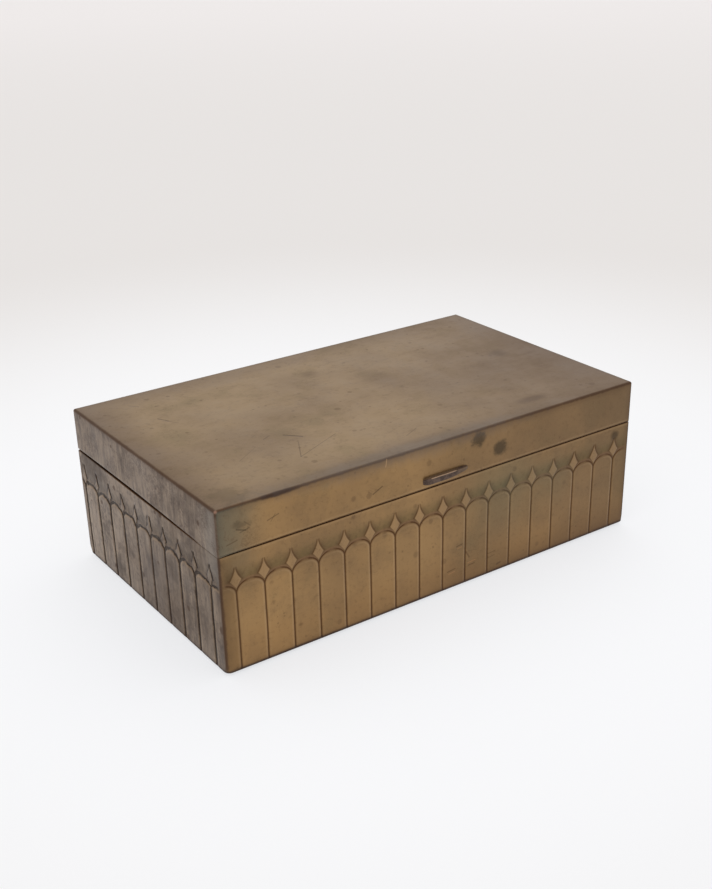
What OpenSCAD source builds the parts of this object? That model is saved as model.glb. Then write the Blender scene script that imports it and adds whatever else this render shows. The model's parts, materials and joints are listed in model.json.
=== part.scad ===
// Bronze-clad table box with a cedar lining and a hinged lid.
//
// Two trays are folded from bronze sheet: the body, with an etched arcade on its
// four walls, and the lid. Both are lined with cedar. The lining of the body stands
// up past the rim as a lip, which the lid closes over. A barrel hinge is riveted
// inside the back walls, its barrel in a slot in their rims.
//
// Millimetres. +X is to the right, -Y is the front, +Z is up. The origin is on the
// table, under the middle of the box. All nodes are drawn with the lid closed.

/* [Box] */
// Outside width, left to right
box_w = 216; // [190:1:240]
// Outside depth, front to back
box_d = 127; // [116:1:150]
// Height of the metal body, up to its rim
body_h = 51.8; // [50:0.1:70]
// Height of the metal lid, from its rim to its top
lid_h = 19; // [17:0.1:26]
// Gap between the two rims when the lid is shut
seam_gap = 0.7; // [0.5:0.1:1]
// Thickness of the bronze sheet
sheet_t = 1.2; // [1:0.1:1.4]
// Outside radius of the folded edges round the top of the lid
lid_fold_r = 1; // [0.8:0.1:2]
// Outside radius of the folded edges round the base
base_fold_r = 1; // [1:0.1:2]
// Outside radius of the four upright corners
corner_r = 0.8; // [0.6:0.1:1.6]
// Thickness of the felt under the base
felt_t = 0.8; // [0.5:0.1:2]
// Distance from the outside of the base to the edge of the felt
felt_inset = 5; // [3:1:10]

/* [Etched arcade] */
// Depth of the etching
etch_depth = 0.35; // [0.2:0.05:0.5]
// Width of the stems between the panels
stem_w = 0.9; // [0.6:0.1:1.2]
// Stems on the front and on the back
front_stems = 17; // [15:2:17]
// Distance between stems on the front and on the back
front_pitch = 12.5; // [11:0.05:12.6]
// Stems on each side
side_stems = 10; // [8:1:10]
// Distance between stems on the sides
side_pitch = 12.75; // [11:0.05:12.8]
// How far the front row of stems stands left of the middle
front_shift = 1.2; // [0:0.1:2]
// How far the side rows of stems stand towards the back
side_shift = 2; // [0:0.1:2]
// Height at which the heads of the panels start to curve
spring_z = 33.8; // [30:0.1:36]
// Rise of the curved heads on the front and on the back
front_head_rise = 5.2; // [4:0.1:5.5]
// Rise of the curved heads on the sides
side_head_rise = 4.4; // [4:0.1:5.5]
// Height of the top of the sunk band
band_top_z = 45.8; // [45.5:0.1:48]

/* [Lozenges] */
// Height of the lower point of a lozenge
lozenge_low_z = 36.7; // [36.6:0.1:37]
// Height at which a lozenge is widest
lozenge_mid_z = 39.8; // [39.5:0.1:40]
// Height of the upper point of a lozenge
lozenge_top_z = 45.2; // [44:0.1:45.4]
// Half the width of a lozenge on the front and on the back
front_lozenge_w = 2.5; // [1.6:0.1:2.8]
// Half the width of a lozenge on the sides
side_lozenge_w = 1.8; // [1.6:0.1:2.8]

/* [Cedar lining] */
// Thickness of the boards round the body
board_t = 6; // [5.8:0.1:7]
// Thickness of the floor board
floor_t = 5; // [4:0.5:8]
// Thickness of the lip that stands up past the rim
lip_t = 2.6; // [2:0.1:2.8]
// Height of the lip above the rim
lip_h = 3.5; // [2.5:0.1:4.5]
// Thickness of the panel in the lid
lid_panel_t = 4; // [3:0.5:5]
// Clearance between the lip and the rails of the lid
lip_clearance = 0.4; // [0.3:0.1:0.6]
// Play between the rails of the lid and the boards that they close on
seat_clearance = 0.05; // [0:0.05:0.3]

/* [Hinge] */
// Length of the hinge
hinge_l = 160; // [120:1:170]
// Number of knuckles, an odd number
knuckles = 11; // [7:2:15]
// Thickness of the leaves
leaf_t = 0.8; // [0.7:0.1:0.8]
// Height of each leaf from the axis
leaf_h = 12; // [11:0.5:13]
// Diameter of the hinge pin
pin_d = 1.6; // [1.2:0.1:1.8]
// Angle at which the stop nibs meet the back wall
open_angle = 100; // [95:1:105]
// Rivets in each leaf
rivets = 6; // [4:1:8]

/* [Thumb lift] */
// Length of the lift along the front of the lid
lift_l = 23.7; // [18:0.1:30]
// How far the lift stands out
lift_out = 1.7; // [1.2:0.1:3]
// Radius of its rounded ends
lift_end_r = 3; // [2:0.1:5]
// Height of the lift
lift_h = 3.2; // [2:0.1:4]
// Height of the underside of the lift above the rim of the lid
lift_up = 1.5; // [0.8:0.1:2]

/* [Hidden] */
$fn = 64;

// Levels
base_z = felt_t;
body_rim_z = base_z + body_h;
lid_rim_z = body_rim_z + seam_gap;
lid_top_z = lid_rim_z + lid_h;
axis_z = body_rim_z + seam_gap / 2;
floor_z = base_z + sheet_t + floor_t;
panel_z = lid_top_z - sheet_t - lid_panel_t;
seat_z = body_rim_z + seat_clearance;

// Plan sizes
inner_w = box_w - 2 * sheet_t;
inner_d = box_d - 2 * sheet_t;
rail_t = board_t - lip_t - lip_clearance;
back_y = box_d / 2;

// Hinge
barrel_r = sheet_t + leaf_t;
pin_r = pin_d / 2;
pin_clearance = 0.03;
knuckle_l = hinge_l / knuckles;
knuckle_gap = 0.25;
barrel_clearance = 0.3;
slot_h = barrel_r + barrel_clearance;
leaf_pocket = leaf_t + 0.1;
leaf_fit = 0.5;
nib_out = 1.9;
nib_t = 1;
nib_root = 0.3;
nib_clearance = 0.03;

// Rivets
rivet_r = 0.8;
rivet_fit = 0.05;
rivet_head_r = 1.5;
rivet_head_h = 0.8;
rivet_tail_r = 1.2;
rivet_tail_h = 0.5;
rivet_end = 12;
rivet_down = leaf_h - 4;
rivet_pitch = (hinge_l - 2 * rivet_end) / (rivets - 1);
tail_pocket_r = rivet_tail_r + 0.2;
tail_pocket = leaf_t + rivet_tail_h + 0.1;

// Steps along each curve of the etching
head_steps = 5;
side_steps = 3;
etch_overlap = 0.01;
cut_past = 1;

bronze = [0.55, 0.44, 0.28];
cedar = [0.62, 0.38, 0.24];
brass = [0.72, 0.58, 0.32];
felt_green = [0.16, 0.24, 0.18];

// ---------------------------------------------------------------- sheet trays

// A block centred on X and Y and standing on z = 0, with its upright edges rounded
module round_block(w, d, h, r) {
    translate([-w / 2 + r, -d / 2, 0]) cube([w - 2 * r, d, h]);
    translate([-w / 2, -d / 2 + r, 0]) cube([w, d - 2 * r, h]);
    for (x = [-1, 1], y = [-1, 1])
        translate([x * (w / 2 - r), y * (d / 2 - r), 0]) cylinder(h = h, r = r);
}

// A block with rounded upright edges and with the edges round its base rounded too
module folded_block(w, d, h, r_corner, r_fold) {
    intersection() {
        round_block(w, d, h, r_corner);
        translate([0, -d / 2, h]) rotate([-90, 0, 0]) round_block(w, 2 * h, d, r_fold);
        translate([-w / 2, 0, h]) rotate([0, 90, 0]) round_block(2 * h, d, w, r_fold);
    }
}

// A tray folded from sheet, open at its top
module sheet_tray(h, fold_r) {
    difference() {
        folded_block(box_w, box_d, h, corner_r, fold_r);
        translate([-inner_w / 2, -inner_d / 2, sheet_t]) cube([inner_w, inner_d, h]);
    }
}

// ---------------------------------------------------------------- etched arcade

// Place of stem i in a row of n stems
function stem_x(i, n, pitch, shift) = (i - (n - 1) / 2) * pitch + shift;

// Angle on the curve of a panel's head at which it meets the side of its stem
function meet_angle(pitch) = acos(1 - stem_w / pitch);

// A point on the head of a panel, on one side (-1 or 1) of the stem at x
function head_point(x, side, a, pitch, rise) = [
    x + side * pitch / 2 * (1 - cos(a)),
    spring_z + rise * sin(a)
];

// The heads of the panels on both sides of a stem, from crown to crown
function stem_outline(x, pitch, rise) = let (a0 = meet_angle(pitch)) concat(
    [for (k = [0 : head_steps - 1])
        head_point(x, -1, 90 - k * (90 - a0) / head_steps, pitch, rise)],
    [head_point(x, -1, a0, pitch, rise), head_point(x, 1, a0, pitch, rise)],
    [for (k = [1 : head_steps - 1])
        head_point(x, 1, a0 + k * (90 - a0) / head_steps, pitch, rise)]
);

// One side of a lozenge, t from 0 at its widest, where it is half_w wide, to 1 at a point
function lozenge_upper(t, half_w) = [
    half_w * pow(1 - t, 1.5),
    lozenge_mid_z + t * (lozenge_top_z - lozenge_mid_z)
];
function lozenge_lower(t, half_w) = [
    half_w * pow(1 - t, 1.2),
    lozenge_mid_z - t * (lozenge_mid_z - lozenge_low_z)
];
function mirror_x(points) = [for (p = points) [-p[0], p[1]]];
function reversed(points) = [for (i = [len(points) - 1 : -1 : 0]) points[i]];

module lozenge(half_w) {
    right = concat(
        [for (k = [side_steps : -1 : 1]) lozenge_lower(k / side_steps, half_w)],
        [for (k = [0 : side_steps]) lozenge_upper(k / side_steps, half_w)]
    );
    left = reversed(mirror_x([for (i = [1 : len(right) - 2]) right[i]]));
    polygon(concat(right, left));
}

// Everything that is etched away from one wall, drawn in X and Z with the wall's face
// at y = 0 and its metal behind it, at y > 0
module wall_etching(wall_l, stems, pitch, shift, rise, lozenge_w) {
    end_x = wall_l / 2 - corner_r;
    places = [for (i = [0 : stems - 1]) stem_x(i, stems, pitch, shift)];
    crown_z = spring_z + rise;
    outline = [for (x = places, p = stem_outline(x, pitch, rise)) if (abs(p[0]) < end_x) p];
    band = concat(
        [[-end_x, crown_z]], outline, [[end_x, crown_z], [end_x, band_top_z], [-end_x, band_top_z]]
    );
    translate([0, etch_depth, 0]) rotate([90, 0, 0]) difference() {
        linear_extrude(etch_depth + cut_past) polygon(band);
        for (x = places)
            translate([x, 0, -cut_past])
                linear_extrude(etch_depth + 3 * cut_past) lozenge(lozenge_w);
    }
    foot_z = base_fold_r;
    join_z = spring_z + rise * sin(meet_angle(pitch));
    for (x = places)
        translate([x - stem_w / 2, -cut_past, foot_z])
            cube([stem_w, etch_depth + cut_past, join_z - foot_z + etch_overlap]);
}

module long_wall_etching(shift) {
    wall_etching(box_w, front_stems, front_pitch, shift, front_head_rise, front_lozenge_w);
}

module side_wall_etching(shift) {
    wall_etching(box_d, side_stems, side_pitch, shift, side_head_rise, side_lozenge_w);
}

module arcade_etching() {
    translate([0, -box_d / 2, 0]) long_wall_etching(-front_shift);
    translate([0, box_d / 2, 0]) rotate([0, 0, 180]) long_wall_etching(front_shift);
    translate([-box_w / 2, 0, 0]) rotate([0, 0, -90]) side_wall_etching(-side_shift);
    translate([box_w / 2, 0, 0]) rotate([0, 0, 90]) side_wall_etching(side_shift);
}

// ---------------------------------------------------------------- hinge places

// Slot in the rims of both back walls, for the barrel
module barrel_slot() {
    translate([-hinge_l / 2 - leaf_fit, back_y - sheet_t - cut_past, axis_z - slot_h])
        cube([hinge_l + 2 * leaf_fit, sheet_t + 2 * cut_past, 2 * slot_h]);
}

// Places its children at each rivet of a leaf, with +Z pointing out of the back wall.
// side is -1 for the lower leaf and 1 for the upper leaf.
module at_rivets(side) {
    for (i = [0 : rivets - 1])
        translate([-hinge_l / 2 + rivet_end + i * rivet_pitch, back_y, axis_z + side * rivet_down])
            rotate([-90, 0, 0]) children();
}

// Holes for the rivets of one leaf
module rivet_holes(side) {
    at_rivets(side)
        translate([0, 0, -barrel_r - cut_past])
            cylinder(h = barrel_r + 2 * cut_past, r = rivet_r + rivet_fit);
}

// Room in the cedar for a leaf and for the tails of its rivets
module leaf_room(side) {
    room_h = leaf_h + leaf_fit;
    low_z = side < 0 ? axis_z - room_h : axis_z - cut_past;
    wall_y = back_y - sheet_t;
    translate([-hinge_l / 2 - leaf_fit, wall_y - leaf_pocket, low_z])
        cube([hinge_l + 2 * leaf_fit, leaf_pocket + cut_past, room_h + cut_past]);
    at_rivets(side)
        translate([0, 0, -sheet_t - tail_pocket])
            cylinder(h = tail_pocket + cut_past / 2, r = tail_pocket_r);
}

// ---------------------------------------------------------------- body

module body_shell() {
    color(bronze) difference() {
        translate([0, 0, base_z]) difference() {
            sheet_tray(body_h, base_fold_r);
            arcade_etching();
        }
        barrel_slot();
        rivet_holes(-1);
    }
}

module base_felt() {
    felt_w = box_w - 2 * felt_inset;
    felt_d = box_d - 2 * felt_inset;
    color(felt_green) translate([-felt_w / 2, -felt_d / 2, 0]) cube([felt_w, felt_d, felt_t]);
}

module floor_board() {
    color(cedar)
        translate([-inner_w / 2, -inner_d / 2, base_z + sheet_t])
            cube([inner_w, inner_d, floor_t]);
}

// A board of the body's lining, with its outer face on y = 0 and its lip inside.
// length is the board's, lip_l the lip's.
module lining_board(length, lip_l) {
    translate([-length / 2, 0, floor_z]) cube([length, board_t, body_rim_z - floor_z]);
    translate([-lip_l / 2, board_t - lip_t, floor_z])
        cube([lip_l, lip_t, body_rim_z + lip_h - floor_z]);
}

lip_w = inner_w - 2 * (board_t - lip_t);
short_board_l = inner_d - 2 * board_t;

module front_board() {
    color(cedar) translate([0, -inner_d / 2, 0]) lining_board(inner_w, lip_w);
}

module back_board() {
    color(cedar) difference() {
        translate([0, inner_d / 2, 0]) rotate([0, 0, 180]) lining_board(inner_w, lip_w);
        leaf_room(-1);
    }
}

module left_board() {
    color(cedar) translate([-inner_w / 2, 0, 0]) rotate([0, 0, -90])
        lining_board(short_board_l, short_board_l);
}

module right_board() {
    color(cedar) translate([inner_w / 2, 0, 0]) rotate([0, 0, 90])
        lining_board(short_board_l, short_board_l);
}

// ---------------------------------------------------------------- hinge

// Left end of knuckle i
function knuckle_x(i) = -hinge_l / 2 + i * knuckle_l;

// Knuckle i, with the stretch of leaf that it turns into.
// side is -1 for the lower leaf and 1 for the upper leaf.
module knuckle(i, side) {
    translate([knuckle_x(i) + knuckle_gap / 2, back_y, axis_z]) {
        rotate([0, 90, 0]) cylinder(h = knuckle_l - knuckle_gap, r = barrel_r);
        translate([0, -barrel_r, side < 0 ? -slot_h : 0])
            cube([knuckle_l - knuckle_gap, leaf_t, slot_h]);
    }
}

// A leaf with every second knuckle, starting with knuckle first
module leaf(first, side) {
    plate_h = leaf_h - slot_h;
    difference() {
        union() {
            for (i = [first : 2 : knuckles - 1]) knuckle(i, side);
            translate([
                -hinge_l / 2, back_y - barrel_r,
                side < 0 ? axis_z - leaf_h : axis_z + slot_h
            ]) cube([hinge_l, leaf_t, plate_h]);
        }
        translate([-hinge_l / 2 - cut_past, back_y, axis_z]) rotate([0, 90, 0])
            cylinder(h = hinge_l + 2 * cut_past, r = pin_r + pin_clearance);
        rivet_holes(side);
    }
}

// A nib on knuckle i of the upper leaf. Its lower face meets the outside of the body's
// back wall, just under the slot, when the lid is open.
module stop_nib(i) {
    translate([knuckle_x(i) + knuckle_gap / 2, back_y, axis_z]) rotate([open_angle - 90, 0, 0])
        translate([0, barrel_r - nib_root, nib_clearance])
            cube([knuckle_l - knuckle_gap, nib_out + nib_root, nib_t]);
}

module lower_leaf() {
    color(brass) leaf(0, -1);
}

module upper_leaf() {
    color(brass) {
        leaf(1, 1);
        stop_nib(1);
        stop_nib(knuckles - 2);
    }
}

module hinge_pin() {
    color(brass) translate([-hinge_l / 2, back_y, axis_z]) rotate([0, 90, 0])
        cylinder(h = hinge_l, r = pin_r);
}

// A rivet through a back wall and a leaf, with its domed head outside
module rivet() {
    dome_r = (pow(rivet_head_r, 2) + pow(rivet_head_h, 2)) / (2 * rivet_head_h);
    intersection() {
        translate([0, 0, rivet_head_h - dome_r]) sphere(r = dome_r);
        cylinder(h = rivet_head_h, r = rivet_head_r);
    }
    translate([0, 0, -barrel_r - rivet_tail_h / 2])
        cylinder(h = barrel_r + rivet_tail_h / 2 + rivet_head_h / 2, r = rivet_r);
    translate([0, 0, -barrel_r - rivet_tail_h]) cylinder(h = rivet_tail_h, r = rivet_tail_r);
}

module lower_rivets() {
    color(brass) at_rivets(-1) rivet();
}

module upper_rivets() {
    color(brass) at_rivets(1) rivet();
}

// ---------------------------------------------------------------- lid

module lid_shell() {
    color(bronze) difference() {
        translate([0, 0, lid_top_z]) rotate([180, 0, 0]) sheet_tray(lid_h, lid_fold_r);
        barrel_slot();
        rivet_holes(1);
    }
}

// A bar along the front of the lid, with ends that curve back into the wall
module thumb_lift() {
    end_run = sqrt(pow(lift_end_r, 2) - pow(lift_end_r - lift_out, 2));
    straight_l = lift_l - 2 * end_run;
    color(bronze) translate([0, -box_d / 2, lid_rim_z + lift_up]) {
        translate([-straight_l / 2, -lift_out, 0]) cube([straight_l, lift_out, lift_h]);
        intersection() {
            for (x = [-1, 1])
                translate([x * straight_l / 2, lift_end_r - lift_out, 0])
                    cylinder(h = lift_h, r = lift_end_r);
            translate([-lift_l / 2, -lift_out, 0]) cube([lift_l, lift_out, lift_h]);
        }
    }
}

module lid_panel() {
    color(cedar) translate([-inner_w / 2, -inner_d / 2, panel_z])
        cube([inner_w, inner_d, lid_panel_t]);
}

// A rail of the lid's lining, with its outer face on y = 0
module lid_rail(length) {
    translate([-length / 2, 0, seat_z]) cube([length, rail_t, panel_z - seat_z]);
}

short_rail_l = inner_d - 2 * rail_t;

module lid_front_rail() {
    color(cedar) translate([0, -inner_d / 2, 0]) lid_rail(inner_w);
}

module lid_back_rail() {
    color(cedar) difference() {
        translate([0, inner_d / 2, 0]) rotate([0, 0, 180]) lid_rail(inner_w);
        leaf_room(1);
    }
}

module lid_left_rail() {
    color(cedar) translate([-inner_w / 2, 0, 0]) rotate([0, 0, -90]) lid_rail(short_rail_l);
}

module lid_right_rail() {
    color(cedar) translate([inner_w / 2, 0, 0]) rotate([0, 0, 90]) lid_rail(short_rail_l);
}

body_shell();
base_felt();
floor_board();
front_board();
back_board();
left_board();
right_board();
lower_leaf();
hinge_pin();
lower_rivets();
lid_shell();
thumb_lift();
lid_panel();
lid_front_rail();
lid_back_rail();
lid_left_rail();
lid_right_rail();
upper_leaf();
upper_rivets();
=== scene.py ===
# A bronze table box: two trays folded from sheet, an etched arcade, cedar lining and a barrel hinge.
import json
import math

import bmesh
import bpy
import numpy as np
from mathutils import Matrix, Vector, noise


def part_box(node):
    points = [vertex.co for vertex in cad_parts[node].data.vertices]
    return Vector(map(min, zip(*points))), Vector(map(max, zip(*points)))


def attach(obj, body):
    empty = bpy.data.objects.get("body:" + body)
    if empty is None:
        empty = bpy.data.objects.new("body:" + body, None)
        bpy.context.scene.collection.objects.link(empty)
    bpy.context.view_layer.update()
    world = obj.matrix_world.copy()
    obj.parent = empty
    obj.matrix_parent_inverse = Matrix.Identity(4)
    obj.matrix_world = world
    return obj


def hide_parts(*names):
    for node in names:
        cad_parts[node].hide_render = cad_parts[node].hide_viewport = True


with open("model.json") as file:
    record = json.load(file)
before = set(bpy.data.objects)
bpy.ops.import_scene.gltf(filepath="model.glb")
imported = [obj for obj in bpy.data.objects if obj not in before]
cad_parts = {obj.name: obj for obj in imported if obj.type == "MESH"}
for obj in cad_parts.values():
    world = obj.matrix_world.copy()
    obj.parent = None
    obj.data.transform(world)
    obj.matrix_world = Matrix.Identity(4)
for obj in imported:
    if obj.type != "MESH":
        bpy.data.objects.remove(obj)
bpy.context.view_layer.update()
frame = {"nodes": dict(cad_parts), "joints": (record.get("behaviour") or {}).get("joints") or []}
mm, inMm = 0.001, 1000.0  # millimetres to metres, and back
bodyLow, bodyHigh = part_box("body_shell")
lidLow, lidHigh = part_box("lid_shell")
hinge = frame["joints"][0]
axisY, axisZ = hinge["pos_m"][1], hinge["pos_m"][2]
boxWidth = (bodyHigh.x - bodyLow.x) / mm
boxDepth = 2 * axisY / mm
trayFold = {
    "sheet": 1.2, "lidFold": 1.0, "baseFold": 1.0, "corner": 0.8, "rimRound": 0.22, "foldSteps": 5,
    "cornerSteps": 6, "footCorner": 2.8, "freshCorner": 1.3, "footHeight": 4.5,
}
print("frame loaded:", len(frame["nodes"]), "nodes")


# node trees written as sums

class Field:  # a node's output that takes part in ordinary sums
    def __init__(self, socket):
        self.socket, self.tree = socket, socket.id_data

    def __add__(self, other):
        return calc("ADD", self, other)

    def __sub__(self, other):
        return calc("SUBTRACT", self, other)

    def __rsub__(self, other):
        return calc("SUBTRACT", other, self)

    def __mul__(self, other):
        return calc("MULTIPLY", self, other)

    def __truediv__(self, other):
        return calc("DIVIDE", self, other)

    def __pow__(self, other):
        return calc("POWER", self, other)

    def __abs__(self):
        return calc("ABSOLUTE", self)

    __radd__, __rmul__ = __add__, __mul__


def setInputs(node, inputs):  # a field is linked, anything else is set on the socket itself
    for key, value in inputs.items():
        if isinstance(value, Field):
            value.tree.links.new(value.socket, node.inputs[key])
        else:
            node.inputs[key].default_value = value


def addNode(tree, kind, inputs=None, **settings):
    made = tree.nodes.new(kind)
    for key, value in settings.items():
        setattr(made, key, value)
    setInputs(made, inputs or {})
    return made


def addField(kind, inputs, output=0, **settings):  # a node in the tree of its first linked input
    tree = next(v.tree for v in inputs.values() if isinstance(v, Field))
    return Field(addNode(tree, kind, inputs, **settings).outputs[output])


def calc(operation, *values):
    return addField("ShaderNodeMath", dict(enumerate(values)), operation=operation)


def least(a, b):
    return calc("MINIMUM", a, b)


def most(a, b):
    return calc("MAXIMUM", a, b)


def ease(value, low, high, start=0.0, end=1.0):  # smooth step from start to end
    inputs = {"Value": value, "From Min": low, "From Max": high, "To Min": start, "To Max": end}
    return addField("ShaderNodeMapRange", inputs, interpolation_type="SMOOTHSTEP")


def vectorSum(operation, inputs, output=0):
    return addField("ShaderNodeVectorMath", inputs, output, operation=operation)


def axesOf(vector):
    return [Field(s) for s in addNode(vector.tree, "ShaderNodeSeparateXYZ", {0: vector}).outputs]


def blotches(coords, scale, detail=4.0, rough=0.55, stretch=None, turn=None, distort=0.0):
    if stretch:
        inputs = {"Vector": coords, "Scale": stretch, "Rotation": turn or (0, 0, 0)}
        coords = addField("ShaderNodeMapping", inputs, vector_type="TEXTURE" if turn else "POINT")
    inputs = {"Vector": coords, "Scale": scale, "Detail": detail, "Roughness": rough, "Distortion": distort}
    return addField("ShaderNodeTexNoise", inputs, "Fac")


def mixColor(factor, first, second):  # three numbers are a screen colour, four a linear one
    first, second = (tint(*c) if isinstance(c, tuple) and len(c) == 3 else c for c in (first, second))
    return addField("ShaderNodeMix", {0: factor, 6: first, 7: second}, 2, data_type="RGBA")


def readAttribute(tree, name):
    return Field(addNode(tree, "ShaderNodeAttribute", attribute_name=name).outputs["Fac"])


def tint(red, green, blue):  # screen colour, 0 to 255, to linear
    channels = [v / 255 for v in (red, green, blue)]
    return (*(v / 12.92 if v <= 0.04045 else ((v + 0.055) / 1.055) ** 2.4 for v in channels), 1.0)


def newMaterial(name):
    material = bpy.data.materials.new(name)
    material.use_nodes = True
    tree = material.node_tree
    tree.nodes.clear()
    shader = addNode(tree, "ShaderNodeBsdfPrincipled")
    addNode(tree, "ShaderNodeOutputMaterial", {0: Field(shader.outputs[0])})
    coords = Field(addNode(tree, "ShaderNodeTexCoord").outputs["Object"])
    return material, shader, coords


def bumped(height, strength, distance):
    return addField("ShaderNodeBump", {"Height": height, "Strength": strength, "Distance": distance})


def newTree(name, sockets, standing):  # a geometry tree with named inputs, some with a standing value
    tree = bpy.data.node_groups.new(name, "GeometryNodeTree")
    for label, kind in sockets.items():
        socket = tree.interface.new_socket(label, in_out="INPUT", socket_type="NodeSocket" + kind)
        if label in standing:
            socket.default_value = standing[label]
    tree.interface.new_socket("Geometry", in_out="OUTPUT", socket_type="NodeSocketGeometry")
    given = addNode(tree, "NodeGroupInput").outputs
    return tree, {label: Field(given[label]) for label in sockets}


def finishTree(tree, geometry, material):
    real = addField("GeometryNodeRealizeInstances", {0: geometry})
    done = addField("GeometryNodeSetMaterial", {"Geometry": real, "Material": material})
    addNode(tree, "NodeGroupOutput", {0: done})
    return tree


# the arcade: round-headed panels with a lozenge standing between each two heads, in millimetres

arcade = {
    "Stem Width": 0.96, "Spring Height": 34.6, "Head Rise": 4.7, "Field Top": 47.8,
    "Lozenge Low": 36.9, "Lozenge Mid": 40.3, "Lozenge Top": 46.1, "Lozenge Half Width": 2.5,
    "Line Depth": 0.34, "Field Depth": 0.26,
}
# how the arcades on the two ends differ
endArcadeLook = {"lower": 0.14, "slimmer": 0.25, "litSideFade": 0.5, "wider": 0.35, "rougher": 4.0}
wallKeys = ("along", "pitch", "shift", "stems", "half", "face", "end")
arcadeWobble = {"scale": 30.0, "reach": 0.55, "fine": 210.0}
frontArcade = {"pitch": 12.5, "stems": 17, "shift": 1.2}
endArcade = {"pitch": 12.75, "stems": 10, "shift": 2.0}
walls = [  # front, right, back, left; the shift is along the wall, anticlockwise seen from above
    {**frontArcade, "shift": -frontArcade["shift"], "half": boxWidth / 2, "end": 0.0},
    {**endArcade, "half": boxDepth / 2, "end": 1.0},
    {**frontArcade, "half": boxWidth / 2, "end": 0.0},
    {**endArcade, "shift": -endArcade["shift"], "half": boxDepth / 2, "end": 1.0},
]


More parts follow.
